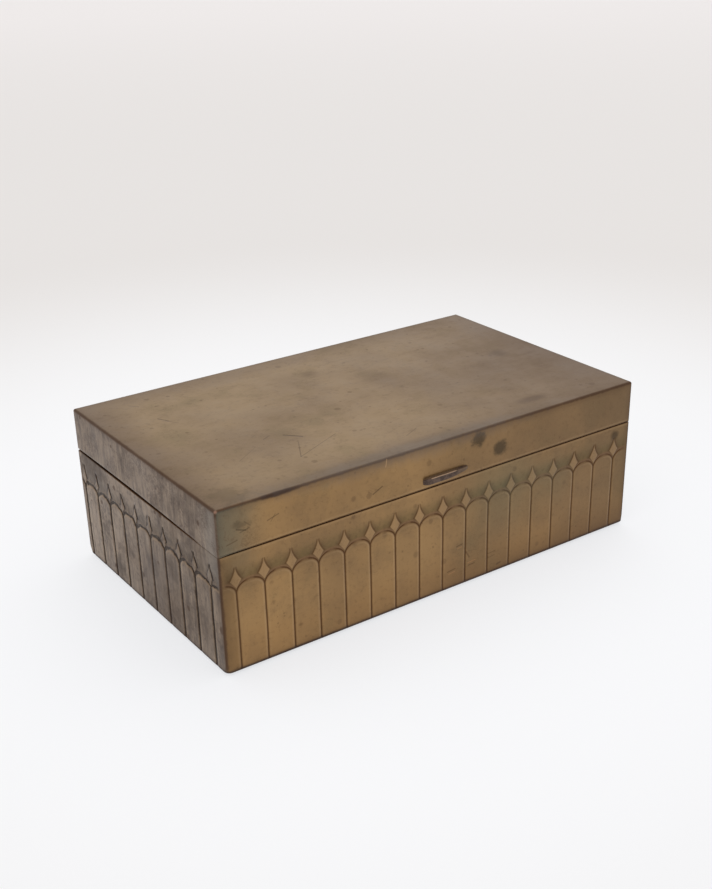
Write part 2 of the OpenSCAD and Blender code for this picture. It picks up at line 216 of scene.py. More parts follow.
def arcadePattern(wall, height, size, position):
    # place across one bay: 0 on a stem, half a pitch on the crown between two stems
    wobble = blotches(position, arcadeWobble["scale"], 1.0, 0.5)
    crackle = blotches(position, arcadeWobble["fine"], 2.0, 0.5) - 0.5
    along = wall["along"] - wall["shift"] + (wobble - 0.5) * arcadeWobble["reach"]
    lastStem = (wall["stems"] - 1.0) / 2.0
    panel = calc("FLOOR", along / wall["pitch"] + lastStem)
    bay = calc("ROUND", along / wall["pitch"] + lastStem)
    bay = least(most(bay, 0.0), wall["stems"] - 1.0)
    offset = along - (bay - lastStem) * wall["pitch"]
    across = abs(offset)
    halfPitch = wall["pitch"] / 2.0
    toCrown = most(halfPitch - across, 0.0)

    # distance from the outline of a panel with an elliptical head, negative inside the panel
    end = wall["end"]
    rise = size["Head Rise"] * (1.0 - end * endArcadeLook["lower"])
    above = most(height - size["Spring Height"], 0.0)
    ring = ((toCrown / halfPitch) ** 2.0 + (above / rise) ** 2.0) ** 0.5
    slope = ((toCrown / halfPitch / halfPitch) ** 2.0 + (above / rise / rise) ** 2.0) ** 0.5
    outside = (ring - 1.0) / most(slope / most(ring, 0.001), 0.05)
    headPart = ease(above, 2.2, 4.4)
    outside = outside + crackle * (endArcadeLook["rougher"] * end * ease(above, 0.0, 2.0, 0.15, 1.0))
    crown = ease(toCrown, 0.6, 3.4, 1.0, 0.0) * headPart

    # lozenge: it widens evenly from its foot, then draws in to a tall point
    low = most((size["Lozenge Mid"] - height) / (size["Lozenge Mid"] - size["Lozenge Low"]), 0.0)
    high = most((height - size["Lozenge Mid"]) / (size["Lozenge Top"] - size["Lozenge Mid"]), 0.0)
    width = most(1.0 - low, 0.0) ** 1.1 * most(1.0 - high, 0.0) ** 1.7 * size["Lozenge Half Width"]
    width = width * (1.0 - end * endArcadeLook["slimmer"])
    offLozenge = (across - width) * 0.8 + crackle * (endArcadeLook["rougher"] * end * 0.7)
    lozenge = ease(offLozenge, -0.16, 0.1, 1.0, 0.0)
    lozenge = lozenge * ease(high, 0.8, 1.0, 1.0, 0.0) * ease(low, 0.9, 1.0, 1.0, 0.0)

    # etched lines: round each panel and up the sides of each lozenge, and the fork under it
    halfStem = size["Stem Width"] / 2.0 * (1.0 + end * endArcadeLook["wider"])
    gap = abs(outside) / (1.0 + crown * (1.0 - end) * 0.9)
    line = ease(gap, halfStem * (0.2 + end * 0.5), halfStem * 1.3, 1.0, 0.0) * (1.0 - crown * 0.5)
    outlineGap = abs(offLozenge - 0.34)
    outlineWidth = ease(high, 0.0, 1.0, 0.8, 0.58)
    outline = ease(outlineGap, outlineWidth * 0.05, outlineWidth, 1.0, 0.0)
    outline = outline * ease(low, 0.0, 0.2, 1.0, 0.4) * ease(high, 0.95, 1.1, 1.0, 0.0)
    # painted light on the ends: each outline fades on one side, as if that side caught the light; the groove
    # is shallower there too
    outline = outline * ease(offset, -0.3, 0.3, 1.0 - end * endArcadeLook["litSideFade"], 1.0)
    fork = ease(outside, -0.1, 0.3) * ease(offLozenge, 0.0, 0.3) * ease(low, 0.5, 0.85, 0.0, 0.45)
    outline = outline * ease(high, 0.1, 0.9, 0.56, 0.6) * (1.0 + end * 0.7)
    lines = most(most(line, fork) * (1.0 - lozenge), outline)

    # the sunk field over the heads, deepest along them and gone at the top of the band
    band = ease(height, 40.0, size["Field Top"], 1.0, 0.0)
    toEnd = wall["half"] - abs(wall["along"])
    endFade = ease(toEnd, 0.6, 3.0)
    field = ease(outside, -0.1, 1.4) * band * (1.0 - lozenge) * endFade * ease(height, 39.5, 42.5, 0.8, 1.0)
    kept = ease(height, 0.1, 0.9) * wall["face"]
    headKept = 1.0 - ease(above, 0.2, 2.0) * (1.0 - endFade)
    blush = ease(outside, -0.35, 0.15) * ease(outside, 0.4, 1.8, 1.0, 0.0) * headPart
    halo = ease(offLozenge, 0.3, 3.0, 1.0, 0.0) * ease(outside, 0.0, 0.8) * ease(high, 0.55, 1.1, 1.0, 0.0)
    # painted highlight: a thin light band inside each panel beside its stems, stronger on the side that faces
    # the light
    worn = ease(gap, halfStem * 1.2, halfStem * 1.7) * ease(gap, halfStem * 2.0, halfStem * 3.4, 1.0, 0.0)
    worn = worn * ease(outside, -0.1, 0.1, 1.0, 0.0)
    worn = worn * kept * ease(offset, -0.3, 0.3, 1.0 - end * 0.7, 0.35 + end * 0.65) * (1.0 - headPart)
    blush = blush * kept * endFade * (1.0 - lozenge)
    halo = halo * kept * endFade * (1.0 - lozenge)
    headShade = ease(outside, -5.0, -0.4, 0.0, 1.0 + end) * ease(above, 0.0, 2.5)
    headShade = headShade * ease(outside, 0.0, 0.4, 1.0, 0.0) * kept
    return {
        "lines": lines * kept * headKept, "field": field * kept, "lozenge": lozenge * kept, "blush": blush,
        "halo": halo, "worn": worn, "headShade": headShade, "panel": panel,
    }


# bronze

bronzeLook = {
    "golden": (158, 125, 83), "brown": (138, 109, 74), "dusk": (112, 90, 66), "orange": (150, 112, 68),
    "topGolden": (148, 124, 91), "topBrown": (131, 108, 79), "topDusk": (112, 90, 67),
    "olive": (110, 100, 72),
    "endPale": (143, 125, 107), "endNear": (121, 103, 85), "endDark": (60, 44, 34), "haze": (124, 116, 106),
    "soot": (86, 56, 27), "edge": (76, 53, 37), "endSoot": (28, 19, 15), "hollow": (98, 82, 52),
    "blush": (120, 90, 66), "lozenge": (156, 127, 93), "rubbed": (186, 155, 116), "copper": (176, 126, 86),
    "cool": (84, 92, 84), "endWorn": (163, 143, 121),
}
bronzeNoise = {  # scale, detail, roughness
    "cloudy": (15, 3), "drift": (42, 4, 0.6), "mottle": (90, 6, 0.64), "grain": (520, 4, 0.6),
    "fleck": (240, 4, 0.6),
}
bronzeFine = {  # the same, and the stretch
    "grime": (150, 7, 0.76), "streaks": (420, 5, 0.7, (1.0, 1.0, 0.16)), "crust": (330, 6, 0.7),
    "wiped": (380, 3, 0.6, (0.12, 1.0, 1.0)), "hairs": (260, 2, 0.5, (9.0, 1.0, 1.0)),
}
specks = ((130, 0.16, 0.2), (310, 0.12, 0.3))  # scale, share and size
wipes = {"cloudy": (0.2, 0.3, -0.7), "drift": (0.5, 0.6, 0.9), "mottle": (0.0, 0.1, 0.25)}  # directions
bronzeFinish = {"metal": 0.88, "tarnishMetal": 0.78, "rough": (0.33, 0.46), "tarnishRough": 0.17,
                "bump": (0.25, 0.0006)}


def foldDistance(axes, flatZ, up):  # millimetres from each face, and from the nearest folded edge
    toFlat = (flatZ - axes[2]) if up else (axes[2] - flatZ)
    three = [boxWidth / 2 * mm - abs(axes[0]), boxDepth / 2 * mm - abs(axes[1]), toFlat]
    three = [distance * inMm for distance in three]
    smallest = least(least(three[0], three[1]), three[2])
    largest = most(most(three[0], three[1]), three[2])
    return three, three[0] + three[1] + three[2] - smallest - largest


def stainAndLightFactor(coords, spot, ragged):
    offset = vectorSum("SUBTRACT", {0: coords, 1: [v * mm for v in spot["at"]]})
    scaled = vectorSum("MULTIPLY", {0: offset, 1: [v * inMm for v in spot["squeeze"]]})
    uneven = vectorSum("LENGTH", {0: scaled}, "Value") + ragged * (spot["r"] * spot["ragged"])
    inner, outer = (spot["r"] * (1 + side * spot["soft"]) for side in (-1, 1))
    return ease(uneven, inner, outer, spot["strength"], 0.0)


def scratchFactor(coords, cut):
    start = Vector(cut["start"]) * mm
    run = Vector(cut["end"]) * mm - start
    offset = vectorSum("SUBTRACT", {0: coords, 1: start})
    part = vectorSum("DOT_PRODUCT", {0: offset, 1: run / run.length_squared}, "Value")
    foot = vectorSum("SCALE", {0: run, "Scale": least(most(part, 0.0), 1.0)})
    gap = vectorSum("DISTANCE", {0: offset, 1: foot}, "Value")
    return ease(gap, cut["width"] * 0.2 * mm, cut["width"] * 0.8 * mm, cut["strength"], 0.0)


def pits(coords, scale, share, size, ragged):  # sparse dark specks of uneven size
    cells = addNode(coords.tree, "ShaderNodeTexVoronoi", {"Vector": coords, "Scale": scale})
    chance = axesOf(Field(cells.outputs["Color"]))
    radius = chance[1] * size + size * 0.35
    gap = Field(cells.outputs["Distance"]) + ragged * 0.25
    return ease(gap / radius, 0.5, 1.0, 1.0, 0.0) * ease(chance[0], 1 - share, 1 - share + 0.02)


def hairlines(coords, turn, mask):  # fine wiping scratches in one direction
    lines = blotches(coords, *bronzeFine["hairs"], turn=turn, distort=0.3)
    return ease(abs(lines - 0.5), 0.0, 0.008, 1.0, 0.0) * mask


def wallTones(x, z, cloudy, drift, mottle, up, look):  # front and back: golden, duller towards the right, partly patina and partly painted shade
    wall = mixColor(ease(cloudy, 0.36, 0.66), look["golden"], look["brown"])
    wall = mixColor(ease(mottle, 0.42, 0.7, 0.0, 0.3), wall, look["dusk"])
    wall = mixColor(ease(drift, 0.52, 0.74, 0.0, 0.3), wall, look["olive"])
    # painted shade: darker near the right-hand corner, in the hollow colour
    wall = mixColor(ease(x + drift * 16.0, 90.0, 116.0, 0.0, 0.45), wall, look["hollow"])
    # duller towards the right: partly patina, partly painted shade
    if up:
        return mixColor(ease(x + cloudy * 60.0, -60.0, 140.0, 0.0, 0.68), wall, look["dusk"])
    wall = mixColor(ease(x + cloudy * 60.0, -40.0, 150.0, 0.0, 0.36), wall, look["dusk"])
    return mixColor(ease(z + drift * 16.0, 14.0, 34.0, 0.3, 0.0), wall, look["orange"])


def endTones(coords, y, z, drift, mottle, grain, up, look):  # grey-brown and grimy, streaked up and down; the grey, paler towards the back, is partly patina and partly painted reflection
    grime = blotches(coords, *bronzeFine["grime"], distort=0.5)
    streaks = blotches(coords, *bronzeFine["streaks"])
    along = y + (drift - 0.5) * 50.0
    # paler towards the back, darker by the near corner: partly patina, partly painted shade
    pale = ease(along, -62.0, 60.0, 0.35, 0.2) if up else ease(along, -58.0, 55.0)
    end = mixColor(pale, look["endNear"], look["endPale"])
    end = mixColor(ease(drift + grime * 0.6, 0.8, 1.0, 0.0, 0.3 if up else 0.45), end, look["endDark"])
    end = mixColor(ease(grime, 0.48, 0.72, 0.0, 0.4 if up else 0.62), end, look["endDark"])
    end = mixColor(ease(streaks, 0.46, 0.66, 0.0, 0.55), end, look["endDark"])
    end = mixColor(ease(streaks, 0.3, 0.46, 0.45, 0.0), end, look["endWorn"])
    end = mixColor(ease(mottle + grain, 0.98, 1.25, 0.0, 0.5), end, look["endDark"])
    haze = ease(y + (drift - 0.5) * 14.0, -60.0, -46.0, 0.6, 0.0) * ease(z + drift * 8.0, 40.0, 50.0)
    return mixColor(haze, end, look["haze"])


def topTones(x, y, cloudy, drift, mottle, three, look):  # paler in the middle, dusky at the ends
    top = mixColor(ease(cloudy, 0.34, 0.66), look["topGolden"], look["topBrown"])
    top = mixColor(ease(drift, 0.5, 0.74, 0.0, 0.3), top, look["olive"])
    top = mixColor(ease(x + cloudy * 80.0 - y * 0.3, 20.0, 160.0, 0.0, 0.8), top, look["topDusk"])
    rim = least(three[0], three[1]) + (cloudy - 0.5) * 30.0 + (drift - 0.5) * 14.0
    top = mixColor(ease(rim, 0.0, 16.0, 0.5, 0.0), top, look["topDusk"])
    leftShade = ease(three[0] + drift * 10.0, 3.0, 26.0, 0.6, 0.0) * ease(x, -60.0, -20.0, 1.0, 0.0)
    top = mixColor(leftShade, top, look["topDusk"])
    return mixColor(ease(mottle, 0.5, 0.72, 0.0, 0.16), top, look["topDusk"])


def etchedTones(coords, axes, color, ragged, ends, look):
    given = {key: readAttribute(coords.tree, "wall" + key.title()) for key in wallKeys}
    made = arcadePattern(given, (axes[2] - bodyLow.z) * inMm, arcade, coords)
    panel = addField("ShaderNodeTexWhiteNoise", {"W": made["panel"]}, noise_dimensions="1D")
    color = mixColor(ease(panel, 0.3, 1.0, 0.0, 0.2) * given["face"], color, look["dusk"])
    color = mixColor(made["headShade"] * 0.3, color, look["dusk"])
    color = mixColor(made["field"] * (0.75 + ragged) * (1.0 - ends * 0.6), color, look["hollow"])
    color = mixColor(made["field"] * ends * (0.45 + ragged * 2.4), color, look["endDark"])
    color = mixColor(made["halo"] * 0.36, color, look["edge"])
    color = mixColor(made["blush"] * (0.58 - ends * 0.4), color, look["blush"])
    color = mixColor(made["lozenge"] * (0.42 - ends * 0.36), color, look["lozenge"])
    # painted highlight beside the stems, in the rubbed colour
    color = mixColor(made["worn"] * 0.22, color, look["rubbed"])
    uneven = made["lines"] + ragged * (0.3 + ends * 0.5)
    soot = ease(uneven + ends * 0.2, 0.1, 0.95, 0.0, 0.94) * ease(made["lines"], 0.0, 0.12)
    color = mixColor(soot * (1.0 - ends), color, look["soot"])
    return mixColor(soot * ends, color, look["endSoot"]), soot


def makeBronze(name, flatZ, rimZ, up, stainAndLightPatches, scratches):
    look = bronzeLook
    material, shader, coords = newMaterial(name)
    axes = axesOf(coords)
    three, toFold = foldDistance(axes, flatZ, up)
    x, y, z = (axis * inMm for axis in axes)
    cloudy, drift, mottle, grain, fleck = (blotches(coords, *settings) for settings in bronzeNoise.values())
    ragged = mottle * 0.7 + fleck * 0.7 + grain * 0.6 - 1.0
    # the ends take greyer tones than the front and back: partly patina, partly painted reflection
    ends = ease(three[0], 0.15, 0.9, 1.0, 0.0)
    color = mixColor(ends, wallTones(x, z, cloudy, drift, mottle, up, look),
                     endTones(coords, y, z, drift, mottle, grain, up, look))
    if up:
        onTop = ease(three[2], 0.15, 0.9, 1.0, 0.0)
        color = mixColor(onTop, color, topTones(x, y, cloudy, drift, mottle, three, look))

    # specks, thickest on the ends
    speck = most(*(pits(coords, *kind, ragged) for kind in specks))
    speck = speck * ease(ends, 0.0, 1.0, 0.3, 0.8)
    color = mixColor(speck, color, look["edge"])
    tarnish = speck

    if not up:
        color, soot = etchedTones(coords, axes, color, ragged, ends, look)
        tarnish = most(tarnish, soot)
    shade = ease(toFold + ragged * 2.0, 0.5, 4.2, 0.32, 0.0)
    color = mixColor(shade * (1.0 - onTop * 0.5) if up else shade, color, look["edge"])
    foldLine = ease(toFold + ragged * 1.3, 0.35, 1.45, 0.86, 0.0)
    if up:
        foldLine = foldLine * ease(three[2], 1.5, 4.0, 1.0, 0.5)
    color = mixColor(foldLine, color, look["edge"])
    tarnish = most(tarnish, foldLine * 0.8)
    if not up:
        # painted shadow: a dark band along the bottom edge, where the sheet curves under towards the table
        foot = ease(three[2] + ragged * 0.6, 0.9, 2.1, 0.9, 0.0)
        color = mixColor(foot, color, look["endDark"])
        # painted shade: darker towards the bottom of the front and back, more so to the right
        low = ease(z + drift * 10.0, 2.0, 24.0, 0.46, 0.0) * ease(x, -90.0, 60.0, 0.1, 1.0) * (1.0 - ends)
        color = mixColor(low, color, look["edge"])
        tarnish = most(tarnish, foot)
    crest = ease(toFold + mottle * 0.5, 0.25, 0.45, 0.28, 0.0) * ease(drift, 0.46, 0.6)
    color = mixColor(crest, color, look["rubbed"])
    if up:
        seamLine = ease(three[0] + three[1], 0.12, 0.4, 0.8, 0.0) * ease(three[2] + ragged * 3.0, 0.6, 2.0)
        color = mixColor(seamLine, color, look["copper"])

    # the rim: grime and painted shade on its edge, so that the seam gap reads dark, rubbed metal beside it
    toRim = abs(z - rimZ / mm)
    color = mixColor(ease(toRim + ragged * 1.2, 0.5, 1.4, 0.14, 0.0) * (1.0 - ends), color, look["rubbed"])
    # partly grime, partly painted shade of the seam gap, in the soot colour
    rimGrimeAndShade = ease(toRim + ragged * 0.2, 0.06, 0.26, 0.9, 0.0)
    rimGrimeAndShade = rimGrimeAndShade * (1.0 - ends * ease(y, -50.0, -44.0, 0.9, 0.0))
    color = mixColor(rimGrimeAndShade, color, look["soot"])
    tarnish = most(tarnish, rimGrimeAndShade)

    if up:  # the front's left part has gone blue-grey, in soft clouds with small crusts in them
        cool = ease(x + (cloudy - 0.5) * 22.0 + (mottle - 0.5) * 16.0, -108.0, -84.0, 1.0, 0.0) * (1.0 - ends)
        cool = cool * (1.0 - onTop)
        color = mixColor(cool * 0.62, color, look["cool"])
        crust = blotches(coords, *bronzeFine["crust"], distort=1.4)
        crust = ease(abs(crust - 0.5), 0.0, 0.035, 0.75, 0.0) * ease(mottle, 0.44, 0.54)
        color = mixColor(crust * ease(x, -104.0, -84.0, 1.0, 0.0) * (1.0 - onTop), color, look["edge"])
    for spot in stainAndLightPatches:
        factor = stainAndLightFactor(coords, spot, ragged)
        color = mixColor(factor, color, spot["tint"])
        tarnish = most(tarnish, factor)
    cuts = None
    for cut in scratches:
        factor = scratchFactor(coords, cut)
        color = mixColor(factor, color, cut["tint"])
        cuts = most(cuts, factor) if cuts else factor

    # handling: fine scratches every way, and a faint wiping on the top
    fine = hairlines(coords, wipes["mottle"], ease(mottle, 0.48, 0.6))
    fine = most(fine, hairlines(coords, wipes["drift"], ease(drift, 0.5, 0.62)))
    fine = most(fine, hairlines(coords, wipes["cloudy"], ease(cloudy, 0.5, 0.6)))
    color = mixColor(fine * 0.22, color, look["edge"])
    color = mixColor(ease(grain, 0.5, 0.8, 0.0, 0.3), color, look["edge"])
    height = cloudy * 1.6 + mottle * 0.4 + grain * 0.14 - fine * 0.05
    rough = ease(drift, 0.3, 0.7, *bronzeFinish["rough"])
    rough = rough + tarnish * bronzeFinish["tarnishRough"]
    if up:
        wiped = blotches(coords, *bronzeFine["wiped"]) * 0.5 + fleck * 0.5
        color = mixColor(ease(wiped, 0.5, 0.75, 0.0, 0.18) * onTop, color, look["edge"])
        rough = rough + (wiped - 0.5) * 0.1
    metal = ease(tarnish, 0.0, 1.0, bronzeFinish["metal"], bronzeFinish["tarnishMetal"])
    bump = bumped(height - cuts * 0.2, *bronzeFinish["bump"])
    setInputs(shader, {"Base Color": color, "Metallic": metal, "Roughness": rough, "Normal": bump})
    return material


frontY, endX, lidTop = -boxDepth / 2, -boxWidth / 2, lidHigh.z / mm


def atTop(x, y):
    return x, y, lidTop


def atFront(x, z):
    return x, frontY, z


def atLeft(y, z):
    return endX, y, z


# a patch of colour: most are stains, a few are painted light or shade
def stainAndLightPatch(at, r, strength, color, ragged=1.2, soft=0.25, squeeze=(1, 1, 1)):
    return {"at": at, "r": r, "strength": strength, "tint": color, "ragged": ragged, "soft": soft,
            "squeeze": squeeze}


def scratch(start, end, width, strength, color):
    return {"start": start, "end": end, "width": width, "strength": strength, "tint": color}


lidStainsAndLight = [
    stainAndLightPatch(atFront(17.5, 67.9), 3.1, 0.76, (64, 52, 36), ragged=2.4, soft=0.5),
    stainAndLightPatch(atFront(29.6, 60.6), 2.9, 0.78, (64, 52, 36), ragged=2.2, soft=0.5),
    stainAndLightPatch(atFront(-97, 63.8), 1.5, 0.4, (66, 54, 38), ragged=4, soft=0.7, squeeze=(0.5, 1, 1)),
    stainAndLightPatch(atFront(-81, 71.9), 9.5, 0.9, (58, 38, 28), ragged=0.8, soft=0.5, squeeze=(1, 8, 8.5)),
    # a painted highlight at the lid's near corner tip, on worn metal
    stainAndLightPatch((-107.4, -63, 71.8), 0.6, 0.5, (176, 136, 116), ragged=0.5, soft=0.5),
    stainAndLightPatch(atTop(58, -51), 4.2, 0.5, (92, 74, 64), soft=0.6, squeeze=(0.6, 1.5, 1)),
    stainAndLightPatch(atTop(85, 3), 4.4, 0.4, (92, 78, 68), soft=0.6),
    stainAndLightPatch(atTop(94, -8), 26, 0.24, (86, 68, 60), ragged=0.7, soft=0.9, squeeze=(1, 0.75, 1)),
    stainAndLightPatch(atTop(-20, -61), 4.5, 0.45, (104, 96, 90), soft=0.7, squeeze=(0.08, 1, 1)),
    stainAndLightPatch(atTop(-97, -55), 6, 0.34, (78, 66, 46), ragged=4, soft=0.6),
    stainAndLightPatch(atTop(-2, 36), 4, 0.3, (104, 84, 70), ragged=2, soft=0.6),
    stainAndLightPatch(atTop(-40, -2), 8, 0.25, (104, 84, 66), ragged=2.4, soft=0.7),
    stainAndLightPatch(atTop(20, 12), 7, 0.22, (104, 86, 70), ragged=2.4, soft=0.7),
]
lidScratches = [
    scratch(atTop(-50, -18), atTop(-44.5, -24), 0.8, 0.85, (66, 48, 34)),
    scratch(atTop(-59, -17), atTop(-55, -15), 0.6, 0.6, (78, 58, 42)),
    scratch(atTop(-56, -41), atTop(-49, -28), 0.5, 0.65, (78, 58, 40)),
    scratch(atTop(-56, -41), atTop(-32, -30), 0.5, 0.6, (78, 58, 40)),
    scratch(atTop(-78, -30), atTop(-66, -22), 0.4, 0.5, (90, 70, 50)),
    scratch(atTop(-83.5, 30), atTop(-81, 25), 0.7, 0.6, (78, 60, 44)),
    scratch(atTop(-81.8, 26), atTop(-78.6, 20.5), 0.5, 0.5, (86, 66, 48)),
    scratch(atTop(-86.8, 51), atTop(-84, 47.5), 0.5, 0.5, (82, 62, 46)),
    scratch(atTop(-10, -50), atTop(-2, -46), 0.5, 0.5, (84, 64, 50)),
    scratch(atFront(-37, 58.4), atFront(-32.5, 60.6), 0.5, 0.65, (74, 54, 36)),
    scratch(atFront(-86, 62), atFront(-81, 63.4), 0.5, 0.5, (80, 60, 42)),
    scratch(atFront(-84.5, 61.2), atFront(-82.5, 63.8), 0.4, 0.4, (80, 60, 42)),
    scratch(atFront(-99.5, 62.3), atFront(-95.5, 60.9), 0.6, 0.6, (70, 58, 42)),
    scratch(atFront(-98, 60.6), atFront(-94, 61.6), 0.5, 0.5, (70, 58, 42)),
    scratch(atFront(-96, 64.6), atFront(-93.5, 62.4), 0.4, 0.45, (74, 60, 44)),
    scratch(atFront(-104, 57), atFront(-99.5, 57.9), 0.5, 0.5, (78, 58, 40)),
    scratch(atFront(-30, 72.2), atFront(-30.6, 68.6), 0.45, 0.5, (186, 152, 112)),
]
bodyStainsAndShade = [
    stainAndLightPatch(atFront(98.9, 48.1), 2.1, 0.7, (62, 48, 30), soft=0.6),
    stainAndLightPatch(atFront(-73.5, 11.5), 0.7, 0.4, (84, 56, 34), soft=0.7, squeeze=(0.7, 1, 1)),
    stainAndLightPatch(atFront(-99, 50), 6, 0.26, (92, 92, 76), ragged=2, soft=0.8),
    # painted shade: a tall darker strip beside the near corner
    stainAndLightPatch(atFront(-104.5, 20), 3.2, 0.42, (88, 68, 46), ragged=1, soft=0.8, squeeze=(1, 1, 0.1)),
    stainAndLightPatch(atLeft(48, 49.5), 8, 0.6, (50, 36, 28), ragged=2.6, soft=0.5, squeeze=(1, 0.6, 1.2)),
    stainAndLightPatch(atLeft(30, 8), 5, 0.6, (52, 38, 30), ragged=2.8, soft=0.5),
    stainAndLightPatch(atLeft(-6, 24), 5, 0.5, (56, 42, 34), ragged=2.8, soft=0.6),
    stainAndLightPatch(atLeft(-22, 30), 6, 0.45, (56, 42, 34), ragged=2.8, soft=0.6),
    stainAndLightPatch(atLeft(-8, 12), 20, 0.4, (74, 57, 46), ragged=0.8, soft=0.9),
    stainAndLightPatch(atFront(32, 43), 17, 0.24, (92, 104, 86), ragged=0.6, soft=0.9),
    stainAndLightPatch(atFront(62, 38), 9, 0.18, (92, 102, 84), ragged=1, soft=0.9),
]
bodyScratches = [
    scratch(atFront(6.4, 20.5), atFront(9.4, 20.9), 0.6, 0.55, (78, 54, 35)),
    scratch(atFront(6.8, 19.3), atFront(9.2, 19.6), 0.5, 0.45, (168, 124, 84)),
    scratch(atFront(11.4, 16.6), atFront(13.4, 13.2), 0.7, 0.5, (78, 54, 35)),
    scratch(atFront(12.4, 10.5), atFront(16.8, 10.8), 0.5, 0.45, (168, 124, 84)),
    scratch(atFront(13, 9.2), atFront(16.4, 9.4), 0.6, 0.5, (78, 54, 35)),
    scratch(atFront(24.2, 11.2), atFront(28.2, 11.6), 0.5, 0.45, (80, 56, 36)),
    scratch(atFront(24.4, 9.2), atFront(27.8, 9.6), 0.45, 0.4, (80, 56, 36)),
    scratch(atFront(1.4, 9.6), atFront(5.6, 10.1), 0.6, 0.5, (78, 54, 35)),
    scratch(atFront(2, 8.3), atFront(5.2, 8.7), 0.5, 0.45, (168, 124, 84)),
    scratch(atFront(29.4, 4.3), atFront(31.2, 4.7), 0.9, 0.55, (74, 54, 40)),
]
lidBronze = makeBronze("lidBronze", lidHigh.z, lidLow.z, True, lidStainsAndLight, lidScratches)
bodyBronze = makeBronze("bodyBronze", bodyLow.z, bodyHigh.z, False, bodyStainsAndShade, bodyScratches)
print("bronze ready")


# cedar, brass and felt

cedarLook = {
    "pale": (182, 130, 90), "red": (146, 94, 62), "fibre": (120, 74, 48), "pore": (82, 48, 31),
    # the grime colour is partly painted shade, for the faces seen through the seam
    "grime": (62, 40, 22), "alongGrain": 0.07,
    "rings": {"Scale": 46.0, "Distortion": 5.5, "Detail": 3.0, "Detail Scale": 1.4}, "fibres": (900, 4, 0.6),
    "pores": (2600, 2, 0.5), "broad": (24, 3), "rough": (0.55, 0.74), "bump": (0.25, 0.0003),
}
brassLook = {
    "bright": (176, 146, 92), "dull": (112, 86, 54), "line": (88, 64, 42), "mottle": (160, 5, 0.6),
    "drawn": (700, 3, 0.5, (0.06, 1, 1)), "metal": 0.92, "rough": (0.3, 0.5), "bump": (0.15, 0.0002),
}
feltLook = {
    "dark": (38, 58, 44), "light": (62, 84, 66), "dusty": (74, 82, 66), "fuzz": (1500, 5, 0.7), "curl": 1.2,
    "rubbed": (40, 4), "sheen": 0.4, "rough": (0.82, 0.98), "bump": (0.6, 0.0004),
}
liftLook = {
    "brown": (90, 70, 58), "dark": (58, 43, 35), "bright": (176, 150, 126), "mottle": (420, 5, 0.6),
    "smooth": (130, 3, 0.5), "metal": (0.35, 0.95), "rough": (0.5, 0.66), "bump": (0.3, 0.0003),
}


def makeCedar(name, grainAxis, shift):
    look = cedarLook
    material, shader, coords = newMaterial(name)
    stretch = [1.0, 1.0, 1.0]
    stretch[grainAxis] = look["alongGrain"]
    turned = addField("ShaderNodeMapping", {"Vector": coords, "Location": shift, "Scale": stretch})
    waves = {"Vector": turned, **look["rings"]}
    rings = addField("ShaderNodeTexWave", waves, "Fac", wave_type="BANDS", bands_direction="DIAGONAL")
    fibres, pores = blotches(turned, *look["fibres"]), blotches(turned, *look["pores"])
    broad = blotches(coords, *look["broad"])
    color = mixColor(ease(rings, 0.1, 0.9), look["pale"], look["red"])
    color = mixColor(ease(fibres, 0.35, 0.7, 0.0, 0.45), color, look["fibre"])
    color = mixColor(ease(pores, 0.6, 0.72, 0.0, 0.5), color, look["pore"])
    color = mixColor(ease(broad, 0.35, 0.7, 0.0, 0.3), color, look["red"])
    across, deep, _ = axesOf(coords)  # grime and painted shade where the boards' outer faces show through the seam
    toSheet = least(boxWidth / 2 - abs(across) * inMm, boxDepth / 2 - abs(deep) * inMm) - trayFold["sheet"]
    color = mixColor(ease(toSheet + (fibres - 0.5) * 0.8, 0.1, 0.9, 0.95, 0.0), color, look["grime"])
    rough = ease(fibres, 0.3, 0.7, *look["rough"])
    bump = bumped(rings * 0.4 + fibres * 0.6, *look["bump"])
    setInputs(shader, {"Base Color": color, "Roughness": rough, "Normal": bump})
    return material


def makeBrass():
    look = brassLook
    material, shader, coords = newMaterial("hingeBrass")
    mottle, drawn = blotches(coords, *look["mottle"]), blotches(coords, *look["drawn"])
    color = mixColor(ease(mottle, 0.35, 0.7), look["bright"], look["dull"])
    color = mixColor(ease(drawn, 0.4, 0.7, 0.0, 0.3), color, look["line"])
    rough, bump = ease(mottle, 0.3, 0.7, *look["rough"]), bumped(drawn, *look["bump"])
    setInputs(shader, {"Base Color": color, "Metallic": look["metal"], "Roughness": rough, "Normal": bump})
    return material


def makeFelt():
    look = feltLook
    material, shader, coords = newMaterial("baizeFelt")
    fuzz = blotches(coords, *look["fuzz"], distort=look["curl"])
    color = mixColor(ease(fuzz, 0.3, 0.7), look["dark"], look["light"])
    color = mixColor(ease(blotches(coords, *look["rubbed"]), 0.4, 0.7, 0.0, 0.4), color, look["dusty"])
    rough, bump = ease(fuzz, 0.3, 0.7, *look["rough"]), bumped(fuzz, *look["bump"])
    sheen = look["sheen"]
    setInputs(shader, {"Base Color": color, "Sheen Weight": sheen, "Roughness": rough, "Normal": bump})
    return material


